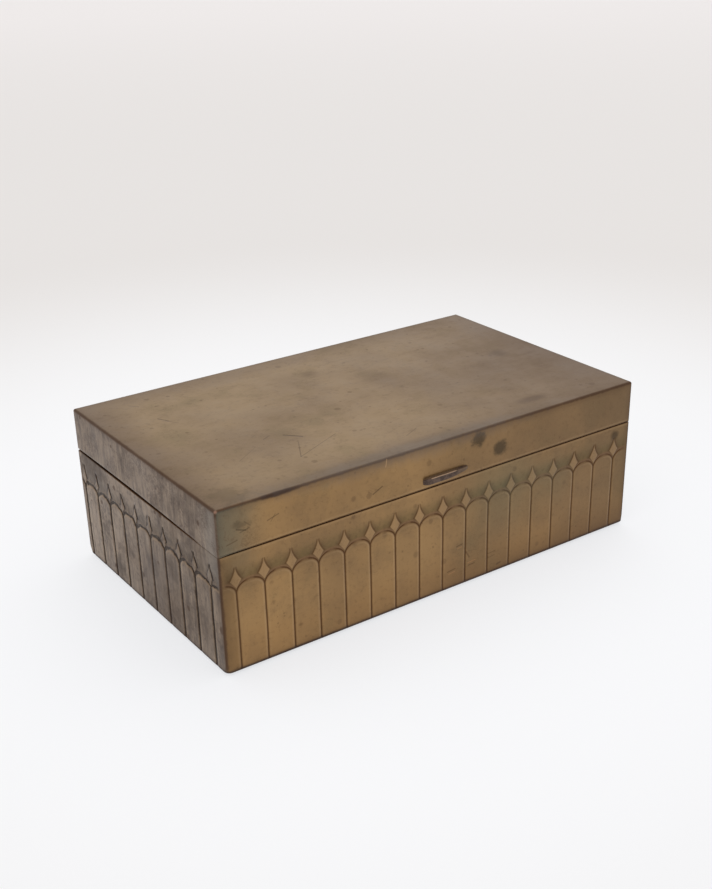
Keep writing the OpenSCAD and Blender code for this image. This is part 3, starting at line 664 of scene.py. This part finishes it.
def makeLiftBronze():  # dark where fingers have left it alone, lightened in places by painted shade, bright along its front edge, partly worn and partly a painted highlight
    look = liftLook
    material, shader, coords = newMaterial("liftBronze")
    mottle, smooth = blotches(coords, *look["mottle"]), blotches(coords, *look["smooth"])
    edge, restAndShade = (readAttribute(coords.tree, name) for name in ("edgeWearAndHighlight", "restWearAndShade"))
    color = mixColor(ease(mottle, 0.35, 0.68), look["brown"], look["dark"])
    # painted shade: the face lightens towards the right, the top towards the left
    color = mixColor(ease(restAndShade + smooth - 0.5, 0.1, 0.8, 0.0, 0.7), color, bronzeLook["dusk"])
    # painted highlight along the front edge, on worn metal
    color = mixColor(ease(edge + (mottle - 0.5) * 0.9, 0.35, 0.8), color, look["bright"])
    metal, rough = ease(edge, 0.0, 1.0, *look["metal"]), ease(mottle, 0.3, 0.7, *look["rough"])
    bump = bumped(mottle, *look["bump"])
    setInputs(shader, {"Base Color": color, "Metallic": metal, "Roughness": rough, "Normal": bump})
    return material


cedarLong = makeCedar("cedarLong", 0, (0.0, 0.0, 0.0))
cedarShort = makeCedar("cedarShort", 1, (0.3, 0.1, 0.2))
cedarWide = makeCedar("cedarWide", 0, (0.5, 0.4, 0.1))
hingeBrass = makeBrass()
baizeFelt = makeFelt()
liftBronze = makeLiftBronze()
print("cedar, brass and felt ready")


# meshes

mergeReach = 2e-6  # metres


def clamped(value):
    return max(0.0, min(1.0, value))


def placed(name, mesh):
    piece = bpy.data.objects.new(name, mesh)
    bpy.context.scene.collection.objects.link(piece)
    return piece


def addPiece(name, mesh, material, body, slot, *nodes, sharp=40):
    mesh.name = name
    mesh.materials.clear()
    mesh.materials.append(material)
    mesh.shade_smooth()
    mesh.set_sharp_from_angle(angle=math.radians(sharp))
    piece = placed(name, mesh)
    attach(piece, body)
    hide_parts(*nodes)
    return piece


def edited(mesh, work):
    work.to_mesh(mesh)
    work.free()
    return mesh


def cleanMesh(mesh):
    work = bmesh.new()
    work.from_mesh(mesh)
    bmesh.ops.remove_doubles(work, verts=work.verts, dist=mergeReach)
    bmesh.ops.dissolve_degenerate(work, edges=work.edges, dist=mergeReach / 2)
    bmesh.ops.recalc_face_normals(work, faces=work.faces)
    return edited(mesh, work)


def applied(draft):  # the object's modifiers made into a plain mesh
    view = bpy.context.evaluated_depsgraph_get()
    seen = draft.evaluated_get(view)
    mesh = bpy.data.meshes.new_from_object(seen, preserve_all_data_layers=True, depsgraph=view)
    bpy.data.objects.remove(draft)
    return mesh


def setModifier(modifier, values):
    for item in modifier.node_group.interface.items_tree:
        if item.item_type == "SOCKET" and item.in_out == "INPUT" and item.name in values:
            modifier[item.identifier] = values[item.name]


# a tray folded from sheet: columns run round the outline, rows follow a section through the sheet

hingeNotch = {"half": 80.5, "drop": 1.95}


def traySection(height, wallRows, notchZ, fold):  # (distance in from the outside, height)
    t, rim = trayFold["sheet"], trayFold["rimRound"]
    rows = [(fold + 0.5, 0.0)]
    for k in range(trayFold["foldSteps"] + 1):
        a = math.pi / 2 * k / trayFold["foldSteps"]
        rows.append((fold * (1 - math.sin(a)), fold * (1 - math.cos(a))))
    rows += [(0.0, z) for z in wallRows]
    rows += [(0.0, height - rim), (rim * 0.3, height - rim * 0.3), (rim, height)]
    rows += [(t - rim, height), (t - rim * 0.3, height - rim * 0.3), (t, height - rim)]
    rows += [(t, notchZ), (t, t + 3.0), (t, t + 0.4), (t, t)]
    return rows


def trayOutline(columns):  # (wall, place along the wall, or share of the turn to the next wall)
    outline = []
    for wall, places in enumerate(columns):
        outline += [(wall, a, None) for a in places]
        outline += [(wall, None, k / trayFold["cornerSteps"]) for k in range(1, trayFold["cornerSteps"])]
    return outline


def outlinePoint(column, inset, rounder=0.0):
    wall, along, turn = column
    half = (boxWidth / 2, boxDepth / 2) if wall % 2 == 0 else (boxDepth / 2, boxWidth / 2)
    corner = max(trayFold["corner"] + rounder, inset)
    if turn is None:
        limit = half[0] - corner
        x, y = max(-limit, min(limit, along)), -(half[1] - inset)
    else:
        a = -math.pi / 2 + turn * math.pi / 2
        x = half[0] - corner + (corner - inset) * math.cos(a)
        y = -(half[1] - corner) + (corner - inset) * math.sin(a)
    for _ in range(wall):
        x, y = -y, x
    return x, y


def footRounding(column, inset, z, up):  # extra plan radius of the body's corners near the table
    if not up or (inset >= trayFold["sheet"] and z > 0.0):
        return 0.0
    low = max(0.0, 1 - z / trayFold["footHeight"])
    worn = trayFold["footCorner"] if outlinePoint(column, inset)[0] < 0 else trayFold["freshCorner"]
    return (worn - trayFold["corner"]) * low * low * (3 - 2 * low)


def sheetTray(name, outline, section, notchZ, base, up, cap=None):
    count, levels = len(outline), len(section)
    verts = [(*outlinePoint(column, inset, footRounding(column, inset, z, up)), z)
             for column in outline for inset, z in section]

    def at(c, r):
        return (c % count) * levels + r

    half = hingeNotch["half"] + 1e-6
    inNotch = [wall == 2 and along is not None and abs(along) <= half for wall, along, _ in outline]
    outer = next(r for r, (i, z) in enumerate(section) if i == 0 and abs(z - notchZ) < 1e-6)
    inner = next(r for r, (i, z) in enumerate(section) if i > 1 and abs(z - notchZ) < 1e-6)
    faces = []
    for c in range(count):
        cut = inNotch[c] and inNotch[(c + 1) % count]
        rows = [r for r in range(levels - 1) if not (cut and outer <= r < inner)]
        faces += [(at(c, r), at(c + 1, r), at(c + 1, r + 1), at(c, r + 1)) for r in rows]
        if cut:
            faces.append((at(c, outer), at(c + 1, outer), at(c + 1, inner), at(c, inner)))
    ends = [c for c in range(count) if inNotch[c]]
    faces.append([at(ends[0], r) for r in range(outer, inner + 1)])
    faces.append([at(ends[-1], r) for r in range(inner, outer - 1, -1)])
    faces.append([at(c, levels - 1) for c in range(count)])
    if cap:
        first, (xs, ys) = len(verts), cap
        verts += [(x, y, 0.0) for x in xs for y in ys]
        corners = [first + i * len(ys) + j for i in range(len(xs) - 1) for j in range(len(ys) - 1)]
        faces += [(a, a + 1, a + len(ys) + 1, a + len(ys)) for a in corners]
    else:
        faces.append([at(c, 0) for c in reversed(range(count))])
    points = np.array(verts)
    points[:, 2] = base + (points[:, 2] if up else -points[:, 2])
    mesh = bpy.data.meshes.new(name)
    mesh.from_pydata((points * mm).tolist(), [], faces)
    return mesh


def wallAttributes(mesh, outline, section):  # what the arcade's rule reads: the wall, and the place along it
    levels = len(section)
    data = {n: np.zeros((len(outline), levels), np.float32) for n in wallKeys}
    out = np.zeros((len(outline), levels, 3), np.float32)
    flat, top = 0.45 * trayFold["baseFold"], bodyGrid["faceTop"]
    onFace = np.array([1.0 if inset < flat and z < top else 0.0 for inset, z in section], np.float32)
    rimRow = max(r for r, (inset, z) in enumerate(section) if inset == 0)
    onFace[rimRow:] = 0.0
    for c, (wall, along, turn) in enumerate(outline):
        if turn is not None and turn > 0.5:
            wall, along = (wall + 1) % 4, -walls[(wall + 1) % 4]["half"]
        elif turn is not None:
            along = walls[wall]["half"]
        for n in ("pitch", "shift", "stems", "half", "end"):
            data[n][c] = walls[wall][n]
        data["along"][c] = along
        data["face"][c] = onFace if turn is None else 0.0
        out[c] = ((0, -1, 0), (1, 0, 0), (0, 1, 0), (-1, 0, 0))[wall]
    for n in wallKeys:
        mesh.attributes.new("wall" + n.title(), "FLOAT", "POINT").data.foreach_set("value", data[n].ravel())
    mesh.attributes.new("wallOut", "FLOAT_VECTOR", "POINT").data.foreach_set("vector", out.ravel())


# the body: its arcade is sunk into the walls by the same rule that colours it

def arcadeTree():
    sockets = {"Geometry": "Geometry", **dict.fromkeys(arcade, "Float"), "Base Height": "Float"}
    tree, given = newTree("etchedArcade", {**sockets, "Bronze": "Material"}, arcade)

    def named(attribute, kind="FLOAT"):
        read = addNode(tree, "GeometryNodeInputNamedAttribute", {"Name": attribute}, data_type=kind)
        return Field(read.outputs[0])

    position = Field(addNode(tree, "GeometryNodeInputPosition").outputs[0])
    height = (axesOf(position)[2] - given["Base Height"]) * inMm
    wall = {n: named("wall" + n.title()) for n in wallKeys}
    made = arcadePattern(wall, height, given, position)
    depth = most(made["lines"] * given["Line Depth"], made["field"] * given["Field Depth"])
    inward = vectorSum("SCALE", {0: named("wallOut", "FLOAT_VECTOR"), "Scale": depth * -mm})
    sunk = addField("GeometryNodeSetPosition", {"Geometry": given["Geometry"], "Offset": inward})
    return finishTree(tree, sunk, given["Bronze"])


# places across half a bay, close together over the stem, the lozenge and the shoulder of the head
bodyGrid = {
    "bay": [0, 0.28, 0.46, 0.7, 1.0, 1.35, 1.7, 2.1, 2.5, 2.95, 3.5, 4.2, 5.2], "closest": 0.14,
    "plainRows": [1.6, 2.4, 3.3, 4.5, 8, 13, 19, 25, 30, 32.6, 33.8], "headRows": (34.3, 0.31, 22),
    "fieldRows": (41.2, 0.5, 12), "topRows": [47.8, 49.2, 51.2], "faceTop": 51.0,
}


def wallColumns(wall, fixed=()):
    limit = wall["half"] - trayFold["corner"]
    sure = {round(p, 4) for p in (-limit, limit, *fixed)}
    places = set(sure)
    for i in range(wall["stems"]):
        stem = (i - (wall["stems"] - 1) / 2) * wall["pitch"] + wall["shift"]
        for offset in bodyGrid["bay"] + [wall["pitch"] / 2]:
            places |= {round(stem - offset, 4), round(stem + offset, 4)}
    columns = []
    for p in sorted(p for p in places if -limit <= p <= limit):
        if columns and p - columns[-1] < bodyGrid["closest"]:  # too close: a fixed place wins
            if p in sure:
                columns[-1] = p
            continue
        columns.append(p)
    return columns


def evenRows(start, step, count):
    return [start + step * k for k in range(count)]


def makeBodyShell():
    height = (bodyHigh.z - bodyLow.z) / mm
    notchZ = height - hingeNotch["drop"]
    rows = bodyGrid["plainRows"] + evenRows(*bodyGrid["headRows"]) + evenRows(*bodyGrid["fieldRows"])
    rows = sorted(rows + bodyGrid["topRows"] + [notchZ])
    section = traySection(height, rows, notchZ, trayFold["baseFold"])
    notch = (-hingeNotch["half"], hingeNotch["half"])
    outline = trayOutline([wallColumns(wall, notch if k == 2 else ()) for k, wall in enumerate(walls)])
    mesh = sheetTray("bodyShell", outline, section, notchZ, bodyLow.z / mm, True)
    wallAttributes(mesh, outline, section)
    draft = placed("bodyDraft", cleanMesh(mesh))
    modifier = draft.modifiers.new("arcade", "NODES")
    modifier.node_group = arcadeTree()
    setModifier(modifier, {**arcade, "Base Height": bodyLow.z, "Bronze": bodyBronze})
    made = applied(draft)
    made.attributes.remove(made.attributes["wallOut"])
    return addPiece("bodyShell", made, bodyBronze, "box", "bronze", "body_shell", sharp=55)


bodyShell = makeBodyShell()
bodyShell.data.calc_loop_triangles()
print("body shell:", len(bodyShell.data.loop_triangles), "triangles")


# the lid, plain, with the slight unevenness of hand-folded sheet

lidShape = {
    "spacing": 4.0, "sag": 0.22, "ripple": 0.1, "rippleScale": 0.03, "seamGap": 0.7, "frontSeam": 0.36,
    "rimBand": 14.0, "rows": [2.2, 3.6, 6, 9, 12, 14.6, 17.7],
    "leftSeam": ((0.0, 0.03), (0.1, 0.05), (0.17, 0.4), (0.3, 0.9), (0.55, 1.3), (0.8, 1.2), (1.0, 0.85)),
}


def lidSeam(x, y):  # gap under the lid's rim: on the left it closes towards the near corner
    left = clamped((-x - boxWidth / 2 + 3) / 2.6)
    places, gaps = zip(*lidShape["leftSeam"])
    gap = float(np.interp((y + boxDepth / 2) / boxDepth, places, gaps))
    return lidShape["frontSeam"] * (1 - left) + gap * left


def makeLidShell():
    height = (lidHigh.z - lidLow.z) / mm
    notchZ = height - hingeNotch["drop"]
    section = traySection(height, sorted(lidShape["rows"] + [notchZ]), notchZ, trayFold["lidFold"])
    columns = []
    for k, wall in enumerate(walls):
        limit = wall["half"] - trayFold["corner"]
        even = [float(p) for p in np.linspace(-limit, limit, int(2 * limit / lidShape["spacing"]) | 1)]
        fixed = [-hingeNotch["half"], hingeNotch["half"]] if k % 2 == 0 else []
        columns.append(sorted([p for p in even if all(abs(p - f) > 0.3 for f in fixed)] + fixed))
    inset = trayFold["lidFold"] + 0.5
    cap = []
    for k in (0, 1):
        limit = walls[k]["half"] - inset
        cap.append(sorted({max(-limit, min(limit, p)) for p in columns[k]}))
    mesh = cleanMesh(sheetTray("lidShell", trayOutline(columns), section, notchZ, lidTop, False, cap))
    for v in mesh.vertices:
        x, y, z = v.co / mm
        middle = (1 - (2 * x / boxWidth) ** 2) * (1 - (2 * y / boxDepth) ** 2)
        ripple = noise.noise(Vector((x, y, z)) * lidShape["rippleScale"]) * 0.5 + 0.5
        if z > lidTop - trayFold["sheet"] - 0.01:  # the top plate dips a little in its middle
            v.co.z -= mm * (lidShape["sag"] * middle + lidShape["ripple"] * ripple * min(1, 4 * middle))
        rimPart = clamped((lidTop - z - lidShape["rimBand"]) / (height - lidShape["rimBand"]))
        v.co.z += mm * (lidSeam(x, y) - lidShape["seamGap"]) * rimPart
    return addPiece("lidShell", mesh, lidBronze, "lid", "bronze", "lid_shell", sharp=55)


makeLidShell()
print("lid shell made")


# thumb lift: a bar with a straight front edge, worn and given a painted highlight, its ends curving back into
# the wall

liftShape = {
    "straight": 36, "bend": 14, "endRadius": 3.0, "underRound": 1.0, "topRound": 0.16, "steps": 5,
    "topFall": 0.18, "thinnest": 0.03, "taper": 0.6, "brightFrom": -9.4, "brightTo": 6.0, "dullFrom": 3.0,
    "dullOver": 4.0, "restAndShadeFrom": 2.0, "restAndShadeOver": 9.0,
}


def liftSection(reach, low, high, fullReach):  # (distance out from the wall, height, how worn, which also sets the painted highlight)
    under = min(liftShape["underRound"], reach * 0.75)
    edge = min(liftShape["topRound"], reach * 0.4)
    fall = liftShape["topFall"] * min(1.0, reach / fullReach)
    steps = liftShape["steps"]
    points = [(0.0, low, 0.0)]
    for k in range(steps + 1):
        a = math.pi / 2 * k / steps
        points.append((reach - under * (1 - math.sin(a)), low + under * (1 - math.cos(a)), 0.0))
    points.append((reach, high - fall - 2.5 * edge, 0.0))
    for k in range(steps + 1):
        a = math.pi / 2 * k / steps
        points.append((reach - edge * (1 - math.cos(a)), high - fall - edge * (1 - math.sin(a)), 1.0))
    points.append((max(reach - 3.0 * edge, reach * 0.3), high - fall * 0.6, 0.1))
    points.append((0.0, high, 0.0))
    return points


def makeThumbLift():
    low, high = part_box("thumb_lift")
    half, out = (high.x - low.x) / 2 / mm, (high.y - low.y) / mm
    radius = liftShape["endRadius"]
    bend = math.sqrt(radius ** 2 - (radius - out) ** 2)
    straight = half - bend
    bends, evens = liftShape["bend"], liftShape["straight"]
    turn = [straight + bend * math.sin(math.pi / 2 * k / bends) for k in range(1, bends + 1)]
    middle = [straight * (2 * k / evens - 1) for k in range(evens + 1)]
    places = [-x for x in reversed(turn)] + middle + turn
    verts, faces, edgeWearAndHighlight, restWearAndShade = [], [], [], []
    for x in places:
        past = max(abs(x) - straight, 0.0)
        reach = math.sqrt(max(radius ** 2 - past ** 2, 0.0)) - (radius - out)
        reach = max(reach, liftShape["thinnest"])
        blunt = (past / bend) ** 3 * 0.8
        taper = max(0.0, x / half) ** 1.5 * liftShape["taper"]  # the right end draws in from below
        reach *= 1 - 0.4 * taper
        under = (high.z - low.z) / mm * taper * 0.75
        points = liftSection(reach, low.z / mm + blunt * 0.6 + under, high.z / mm - blunt, out)
        # where the front edge is worn bright and carries a painted highlight
        bright = clamped(x - liftShape["brightFrom"]) * clamped((liftShape["brightTo"] - x) / 3)
        verts += [(x * mm, high.y - d * mm, z * mm) for d, z, _ in points]
        edgeWearAndHighlight += [worn * bright for _, _, worn in points]
        onTop = [0.0] * (len(points) - 2) + [1.0, 1.0]
        # painted shade along the lift: its face lightens towards the right, its top towards the left
        dull = clamped((x - liftShape["dullFrom"]) / liftShape["dullOver"])
        restAndShade = clamped((x - liftShape["restAndShadeFrom"]) / liftShape["restAndShadeOver"])
        restWearAndShade += [restAndShade * (1 - t) + (1 - dull) * t for t in onTop]
    ring = len(points)
    count = len(places) - 1
    for i in range(count):
        pairs = [(i * ring + k, i * ring + (k + 1) % ring) for k in range(ring)]
        faces += [(a, b, b + ring, a + ring) for a, b in pairs]
    faces += [list(range(ring)), [count * ring + k for k in reversed(range(ring))]]
    mesh = bpy.data.meshes.new("thumbLift")
    mesh.from_pydata(verts, [], faces)
    mesh.attributes.new("edgeWearAndHighlight", "FLOAT", "POINT").data.foreach_set("value", edgeWearAndHighlight)
    mesh.attributes.new("restWearAndShade", "FLOAT", "POINT").data.foreach_set("value", restWearAndShade)
    return addPiece("thumbLift", cleanMesh(mesh), liftBronze, "lid", "bronze", "thumb_lift", sharp=60)


makeThumbLift()


# cedar boards and felt: the plain shapes with softened arrises

boards = {  # piece: node, body and wood
    "floorBoard": ("floor_board", "box", cedarWide), "frontBoard": ("front_board", "box", cedarLong),
    "backBoard": ("back_board", "box", cedarLong), "leftBoard": ("left_board", "box", cedarShort),
    "rightBoard": ("right_board", "box", cedarShort), "lidPanel": ("lid_panel", "lid", cedarWide),
    "lidFrontRail": ("lid_front_rail", "lid", cedarLong), "lidBackRail": ("lid_back_rail", "lid", cedarLong),
    "lidLeftRail": ("lid_left_rail", "lid", cedarShort),
    "lidRightRail": ("lid_right_rail", "lid", cedarShort),
}
# width in millimetres and segments, for edges sharper than so many degrees
arris = {"wood": (0.35, 3), "felt": (0.25, 2), "leaf": (0.15, 2), "degrees": 40.0}


def cleanCopy(node):  # a CAD node as clean faces, with its triangles merged
    mesh = frame["nodes"][node].data.copy()
    work = bmesh.new()
    work.from_mesh(mesh)
    bmesh.ops.remove_doubles(work, verts=work.verts, dist=mergeReach)
    bmesh.ops.dissolve_limit(work, angle_limit=math.radians(1), verts=work.verts, edges=work.edges)
    return edited(mesh, work)


def softened(mesh, width, segments):
    draft = placed("draft", mesh)
    bevel = draft.modifiers.new("arris", "BEVEL")
    bevel.width = width * mm
    bevel.segments = segments
    bevel.limit_method = "ANGLE"
    bevel.angle_limit = math.radians(arris["degrees"])
    return applied(draft)


for name, (node, body, material) in boards.items():
    addPiece(name, softened(cleanCopy(node), *arris["wood"]), material, body, "cedar", node)
print("cedar lining:", len(boards), "boards")

addPiece("baseFelt", softened(cleanCopy("base_felt"), *arris["felt"]), baizeFelt, "box", "felt", "base_felt")


# hinge and rivets, set out in rows

def rowTree():
    sockets = {"Geometry": "Geometry", "Item": "Object", "Count": "Int", "Start": "Vector",
               "Spacing": "Vector", "Metal": "Material"}
    tree, given = newTree("hingeRow", sockets, {})
    places = {"Count": given["Count"], "Start Location": given["Start"], "Offset": given["Spacing"]}
    points = addField("GeometryNodeMeshLine", places, mode="OFFSET")
    item = addField("GeometryNodeObjectInfo", {"Object": given["Item"]}, "Geometry")
    row = addField("GeometryNodeInstanceOnPoints", {"Points": points, "Instance": item})
    joined = addField("GeometryNodeJoinGeometry", {0: given["Geometry"]})
    tree.links.new(row.socket, joined.socket.node.inputs[0])
    return finishTree(tree, joined, given["Metal"])


hingeRow = rowTree()


def setInRow(base, itemMesh, count, start, spacing):
    draft, item = placed("draft", base), bpy.data.objects.new("item", itemMesh)
    modifier = draft.modifiers.new("row", "NODES")
    modifier.node_group = hingeRow
    setModifier(modifier, {"Item": item, "Count": count, "Start": [v * mm for v in start],
                           "Spacing": (spacing * mm, 0.0, 0.0), "Metal": hingeBrass})
    made = applied(draft)
    bpy.data.objects.remove(item)
    return made


def latheTurned(profile, steps, axis):  # (place along the axis, radius), closed at both ends
    verts, faces = [], []
    for t, r in profile:
        for k in range(steps):
            a = 2 * math.pi * k / steps
            u, v = r * math.cos(a), r * math.sin(a)
            verts.append([c * mm for c in ((t, u, v) if axis == "X" else (u, t, v))])
    for i in range(len(profile) - 1):
        pairs = [(i * steps + k, i * steps + (k + 1) % steps) for k in range(steps)]
        faces += [(a, b, b + steps, a + steps) for a, b in pairs]
    mesh = bpy.data.meshes.new("turned")
    mesh.from_pydata(verts, [], faces)
    return cleanMesh(mesh)


rivetShape = {
    "count": 6, "end": 12.0, "drop": 8.0, "head": 1.5, "rise": 0.8, "rim": 0.12, "shank": 0.8, "tail": 1.2,
    "tailRise": 0.5, "domeSteps": 6, "steps": 24,
}
leafShape = {
    "length": 160.0, "knuckles": 11, "barrel": 2.0, "bore": 0.83, "gap": 0.25, "chamfer": 0.18, "leaf": 0.8,
    "height": 12.0, "neck": 2.3, "steps": 32,
}
nibShape = {"out": 1.9, "thick": 1.0, "overlap": 0.3, "lift": 0.03, "arris": (0.2, 2)}
pinShape = {"r": 0.8, "nose": 0.25}
tip = 0.001  # radius that closes a turned end


def rivetMesh():
    s, inside = rivetShape, -leafShape["barrel"]
    profile = [(inside - s["tailRise"], tip), (inside - s["tailRise"], s["tail"] * 0.8),
               (inside - s["tailRise"] * 0.7, s["tail"]), (inside, s["tail"]), (inside, s["shank"]),
               (0.0, s["shank"]), (0.0, s["head"] * 0.97)]
    for k in range(s["domeSteps"]):
        a = math.pi / 2 * k / s["domeSteps"]
        profile.append((s["rim"] + (s["rise"] - s["rim"]) * math.sin(a), s["head"] * math.cos(a)))
    profile.append((s["rise"], tip))
    return latheTurned(profile, s["steps"], "Y")


def makeRivets(name, node, body, side):
    s, length = rivetShape, leafShape["length"]
    start = (-length / 2 + s["end"], axisY / mm, axisZ / mm + side * s["drop"])
    spacing = (length - 2 * s["end"]) / (s["count"] - 1)
    made = setInRow(bpy.data.meshes.new("none"), rivetMesh(), s["count"], start, spacing)
    return addPiece(name, made, hingeBrass, body, "hinge_brass", node)


def blockMesh(low, high):
    work = bmesh.new()
    bmesh.ops.create_cube(work, size=1)
    size = Matrix.Diagonal((*[(h - l) * mm for l, h in zip(low, high)], 1))
    middle = Matrix.Translation([(h + l) / 2 * mm for l, h in zip(low, high)])
    bmesh.ops.transform(work, matrix=middle @ size, verts=work.verts)
    return edited(bpy.data.meshes.new("block"), work)


def joinedMesh(first, *others):
    work = bmesh.new()
    for mesh in (first, *others):
        work.from_mesh(mesh)
    return edited(first, work)


def knuckleMesh(side):
    s = leafShape
    long, r, c = s["length"] / s["knuckles"] - s["gap"], s["barrel"], s["chamfer"]
    profile = [(0, s["bore"]), (0, r - c), (c * 0.4, r - c * 0.35), (c, r), (long - c, r),
               (long - c * 0.4, r - c * 0.35), (long, r - c), (long, s["bore"]), (0, s["bore"])]
    neck = sorted((0, side * s["neck"]))
    strap = blockMesh((0, -r, neck[0]), (long, -r + s["leaf"], neck[1]))
    return joinedMesh(latheTurned(profile, s["steps"], "X"), strap)


def nibMesh(knuckle):
    s, n, r = leafShape, nibShape, leafShape["barrel"]
    pitch = s["length"] / s["knuckles"]
    x = -s["length"] / 2 + knuckle * pitch + s["gap"] / 2
    far = (x + pitch - s["gap"], r + n["out"], n["lift"] + n["thick"])
    nib = softened(blockMesh((x, r - n["overlap"], n["lift"]), far), *n["arris"])
    turn = Matrix.Rotation(math.radians(hinge["range_deg"][1] - 90), 4, "X")
    nib.transform(Matrix.Translation((0, axisY, axisZ)) @ turn)
    return nib


def makeLeaf(name, node, body, side, first):
    s = leafShape
    y, z, half = axisY / mm - s["barrel"], axisZ / mm, s["length"] / 2
    low, high = sorted((z + side * s["neck"], z + side * s["height"]))
    plate = softened(blockMesh((-half, y, low), (half, y + s["leaf"], high)), *arris["leaf"])
    pitch = s["length"] / s["knuckles"]
    start = (-half + first * pitch + s["gap"] / 2, axisY / mm, z)
    count = len(range(first, s["knuckles"], 2))
    made = setInRow(plate, knuckleMesh(side), count, start, 2 * pitch)
    if side > 0:  # stop nibs on the outer knuckles
        made = joinedMesh(made, nibMesh(1), nibMesh(s["knuckles"] - 2))
    return addPiece(name, made, hingeBrass, body, "hinge_brass", node)


def makePin():
    r, half, nose = pinShape["r"], leafShape["length"] / 2, pinShape["nose"]
    profile = [(-half, tip), (-half, r * 0.7), (-half + nose, r)]
    profile += [(-t, radius) for t, radius in reversed(profile)]
    mesh = latheTurned(profile, rivetShape["steps"], "X")
    mesh.transform(Matrix.Translation((0, axisY, axisZ)))
    return addPiece("hingePin", mesh, hingeBrass, "box", "hinge_brass", "hinge_pin")


makeLeaf("lowerLeaf", "lower_leaf", "box", -1, 0)
makeLeaf("upperLeaf", "upper_leaf", "lid", 1, 1)
makeRivets("lowerRivets", "lower_rivets", "box", -1)
makeRivets("upperRivets", "upper_rivets", "lid", 1)
makePin()
print("hinge ready")


# floor, light and camera

stageLook = {
    "near": (0.64, 0.648, 0.666, 1), "far": (0.462, 0.438, 0.423, 1), "away": (0.535, 0.506, 0.5, 1),
    "nearReach": (0.12, 0.56), "awayReach": (0.9, 3.0), "plain": (0.3, 0.3, 0.3, 1), "half": 30.0,
    "horizon": (0.9, 0.876, 0.868, 1), "zenith": (0.985, 0.975, 0.97, 1), "strength": 0.95,
}
softboxes = {
    "keySoftbox": {"at": (0.8, 0.5, 1.8), "toward": (0, 0, 0), "size": 1.8, "watts": 4.0},
    "leftSoftbox": {"at": (-1.3, -0.5, 0.75), "toward": (0, 0, 0.03), "size": 1.0, "watts": 1.6},
}
shot = {"place": (-298.56, -435.14, 279.51), "turn": 35.289, "tilt": 25.501, "roll": -1.001, "focal": 1267.2,
        "frameHigh": 889, "sensor": 36.0, "right": 20, "below": 40}


def makeFloor():  # pale and softly lit from within, so that shadows on it stay light
    material, shader, coords = newMaterial("paleFloor")
    away = vectorSum("LENGTH", {0: coords}, "Value")
    glow = mixColor(ease(away, *stageLook["nearReach"]), stageLook["near"], stageLook["far"])
    glow = mixColor(ease(away, *stageLook["awayReach"]), glow, stageLook["away"])
    setInputs(shader, {"Emission Color": glow, "Emission Strength": 1.0, "Base Color": stageLook["plain"],
                       "Roughness": 0.9})
    half = stageLook["half"]
    mesh = bpy.data.meshes.new("floor")
    corners = [(-half, -half, 0), (half, -half, 0), (half, half, 0), (-half, half, 0)]
    mesh.from_pydata(corners, [], [(0, 1, 2, 3)])
    mesh.materials.append(material)
    placed("floor", mesh)


def makeWorld():
    world = bpy.data.worlds.new("studio")
    bpy.context.scene.world = world
    world.use_nodes = True
    up = axesOf(Field(addNode(world.node_tree, "ShaderNodeTexCoord").outputs["Generated"]))[2]
    sky = mixColor(ease(up, 0.0, 0.7), stageLook["horizon"], stageLook["zenith"])
    setInputs(world.node_tree.nodes["Background"], {"Color": sky, "Strength": stageLook["strength"]})


def makeSoftbox(name, box):
    light = bpy.data.lights.new(name, "AREA")
    light.size = box["size"]
    light.energy = box["watts"]
    lamp = bpy.data.objects.new(name, light)
    lamp.location = box["at"]
    lamp.rotation_euler = (Vector(box["toward"]) - Vector(box["at"])).to_track_quat("-Z", "Y").to_euler()
    bpy.context.scene.collection.objects.link(lamp)


def makeCamera():
    data = bpy.data.cameras.new("camera")
    data.sensor_width = shot["sensor"]
    data.lens = shot["focal"] * shot["sensor"] / shot["frameHigh"]
    data.clip_start, data.clip_end = 0.01, 100
    data.shift_x = -shot["right"] / shot["frameHigh"]  # the lens axis lies right of the middle and below it
    data.shift_y = shot["below"] / shot["frameHigh"]
    turn, tilt, roll = (math.radians(shot[k]) for k in ("turn", "tilt", "roll"))
    forward = Vector((math.cos(tilt) * math.sin(turn), math.cos(tilt) * math.cos(turn), -math.sin(tilt)))
    right = Vector((math.cos(turn), -math.sin(turn), 0))
    up = right.cross(forward)
    side = math.cos(roll) * right + math.sin(roll) * up
    head = -math.sin(roll) * right + math.cos(roll) * up
    camera = bpy.data.objects.new("camera", data)
    axes = Matrix((side, head, -forward)).transposed().to_4x4()
    camera.matrix_world = Matrix.Translation(Vector(shot["place"]) * mm) @ axes
    bpy.context.scene.collection.objects.link(camera)
    bpy.context.scene.camera = camera


makeFloor()
makeWorld()
for name, box in softboxes.items():
    makeSoftbox(name, box)
makeCamera()
bpy.context.scene.view_settings.view_transform = "Standard"
print("stage ready")
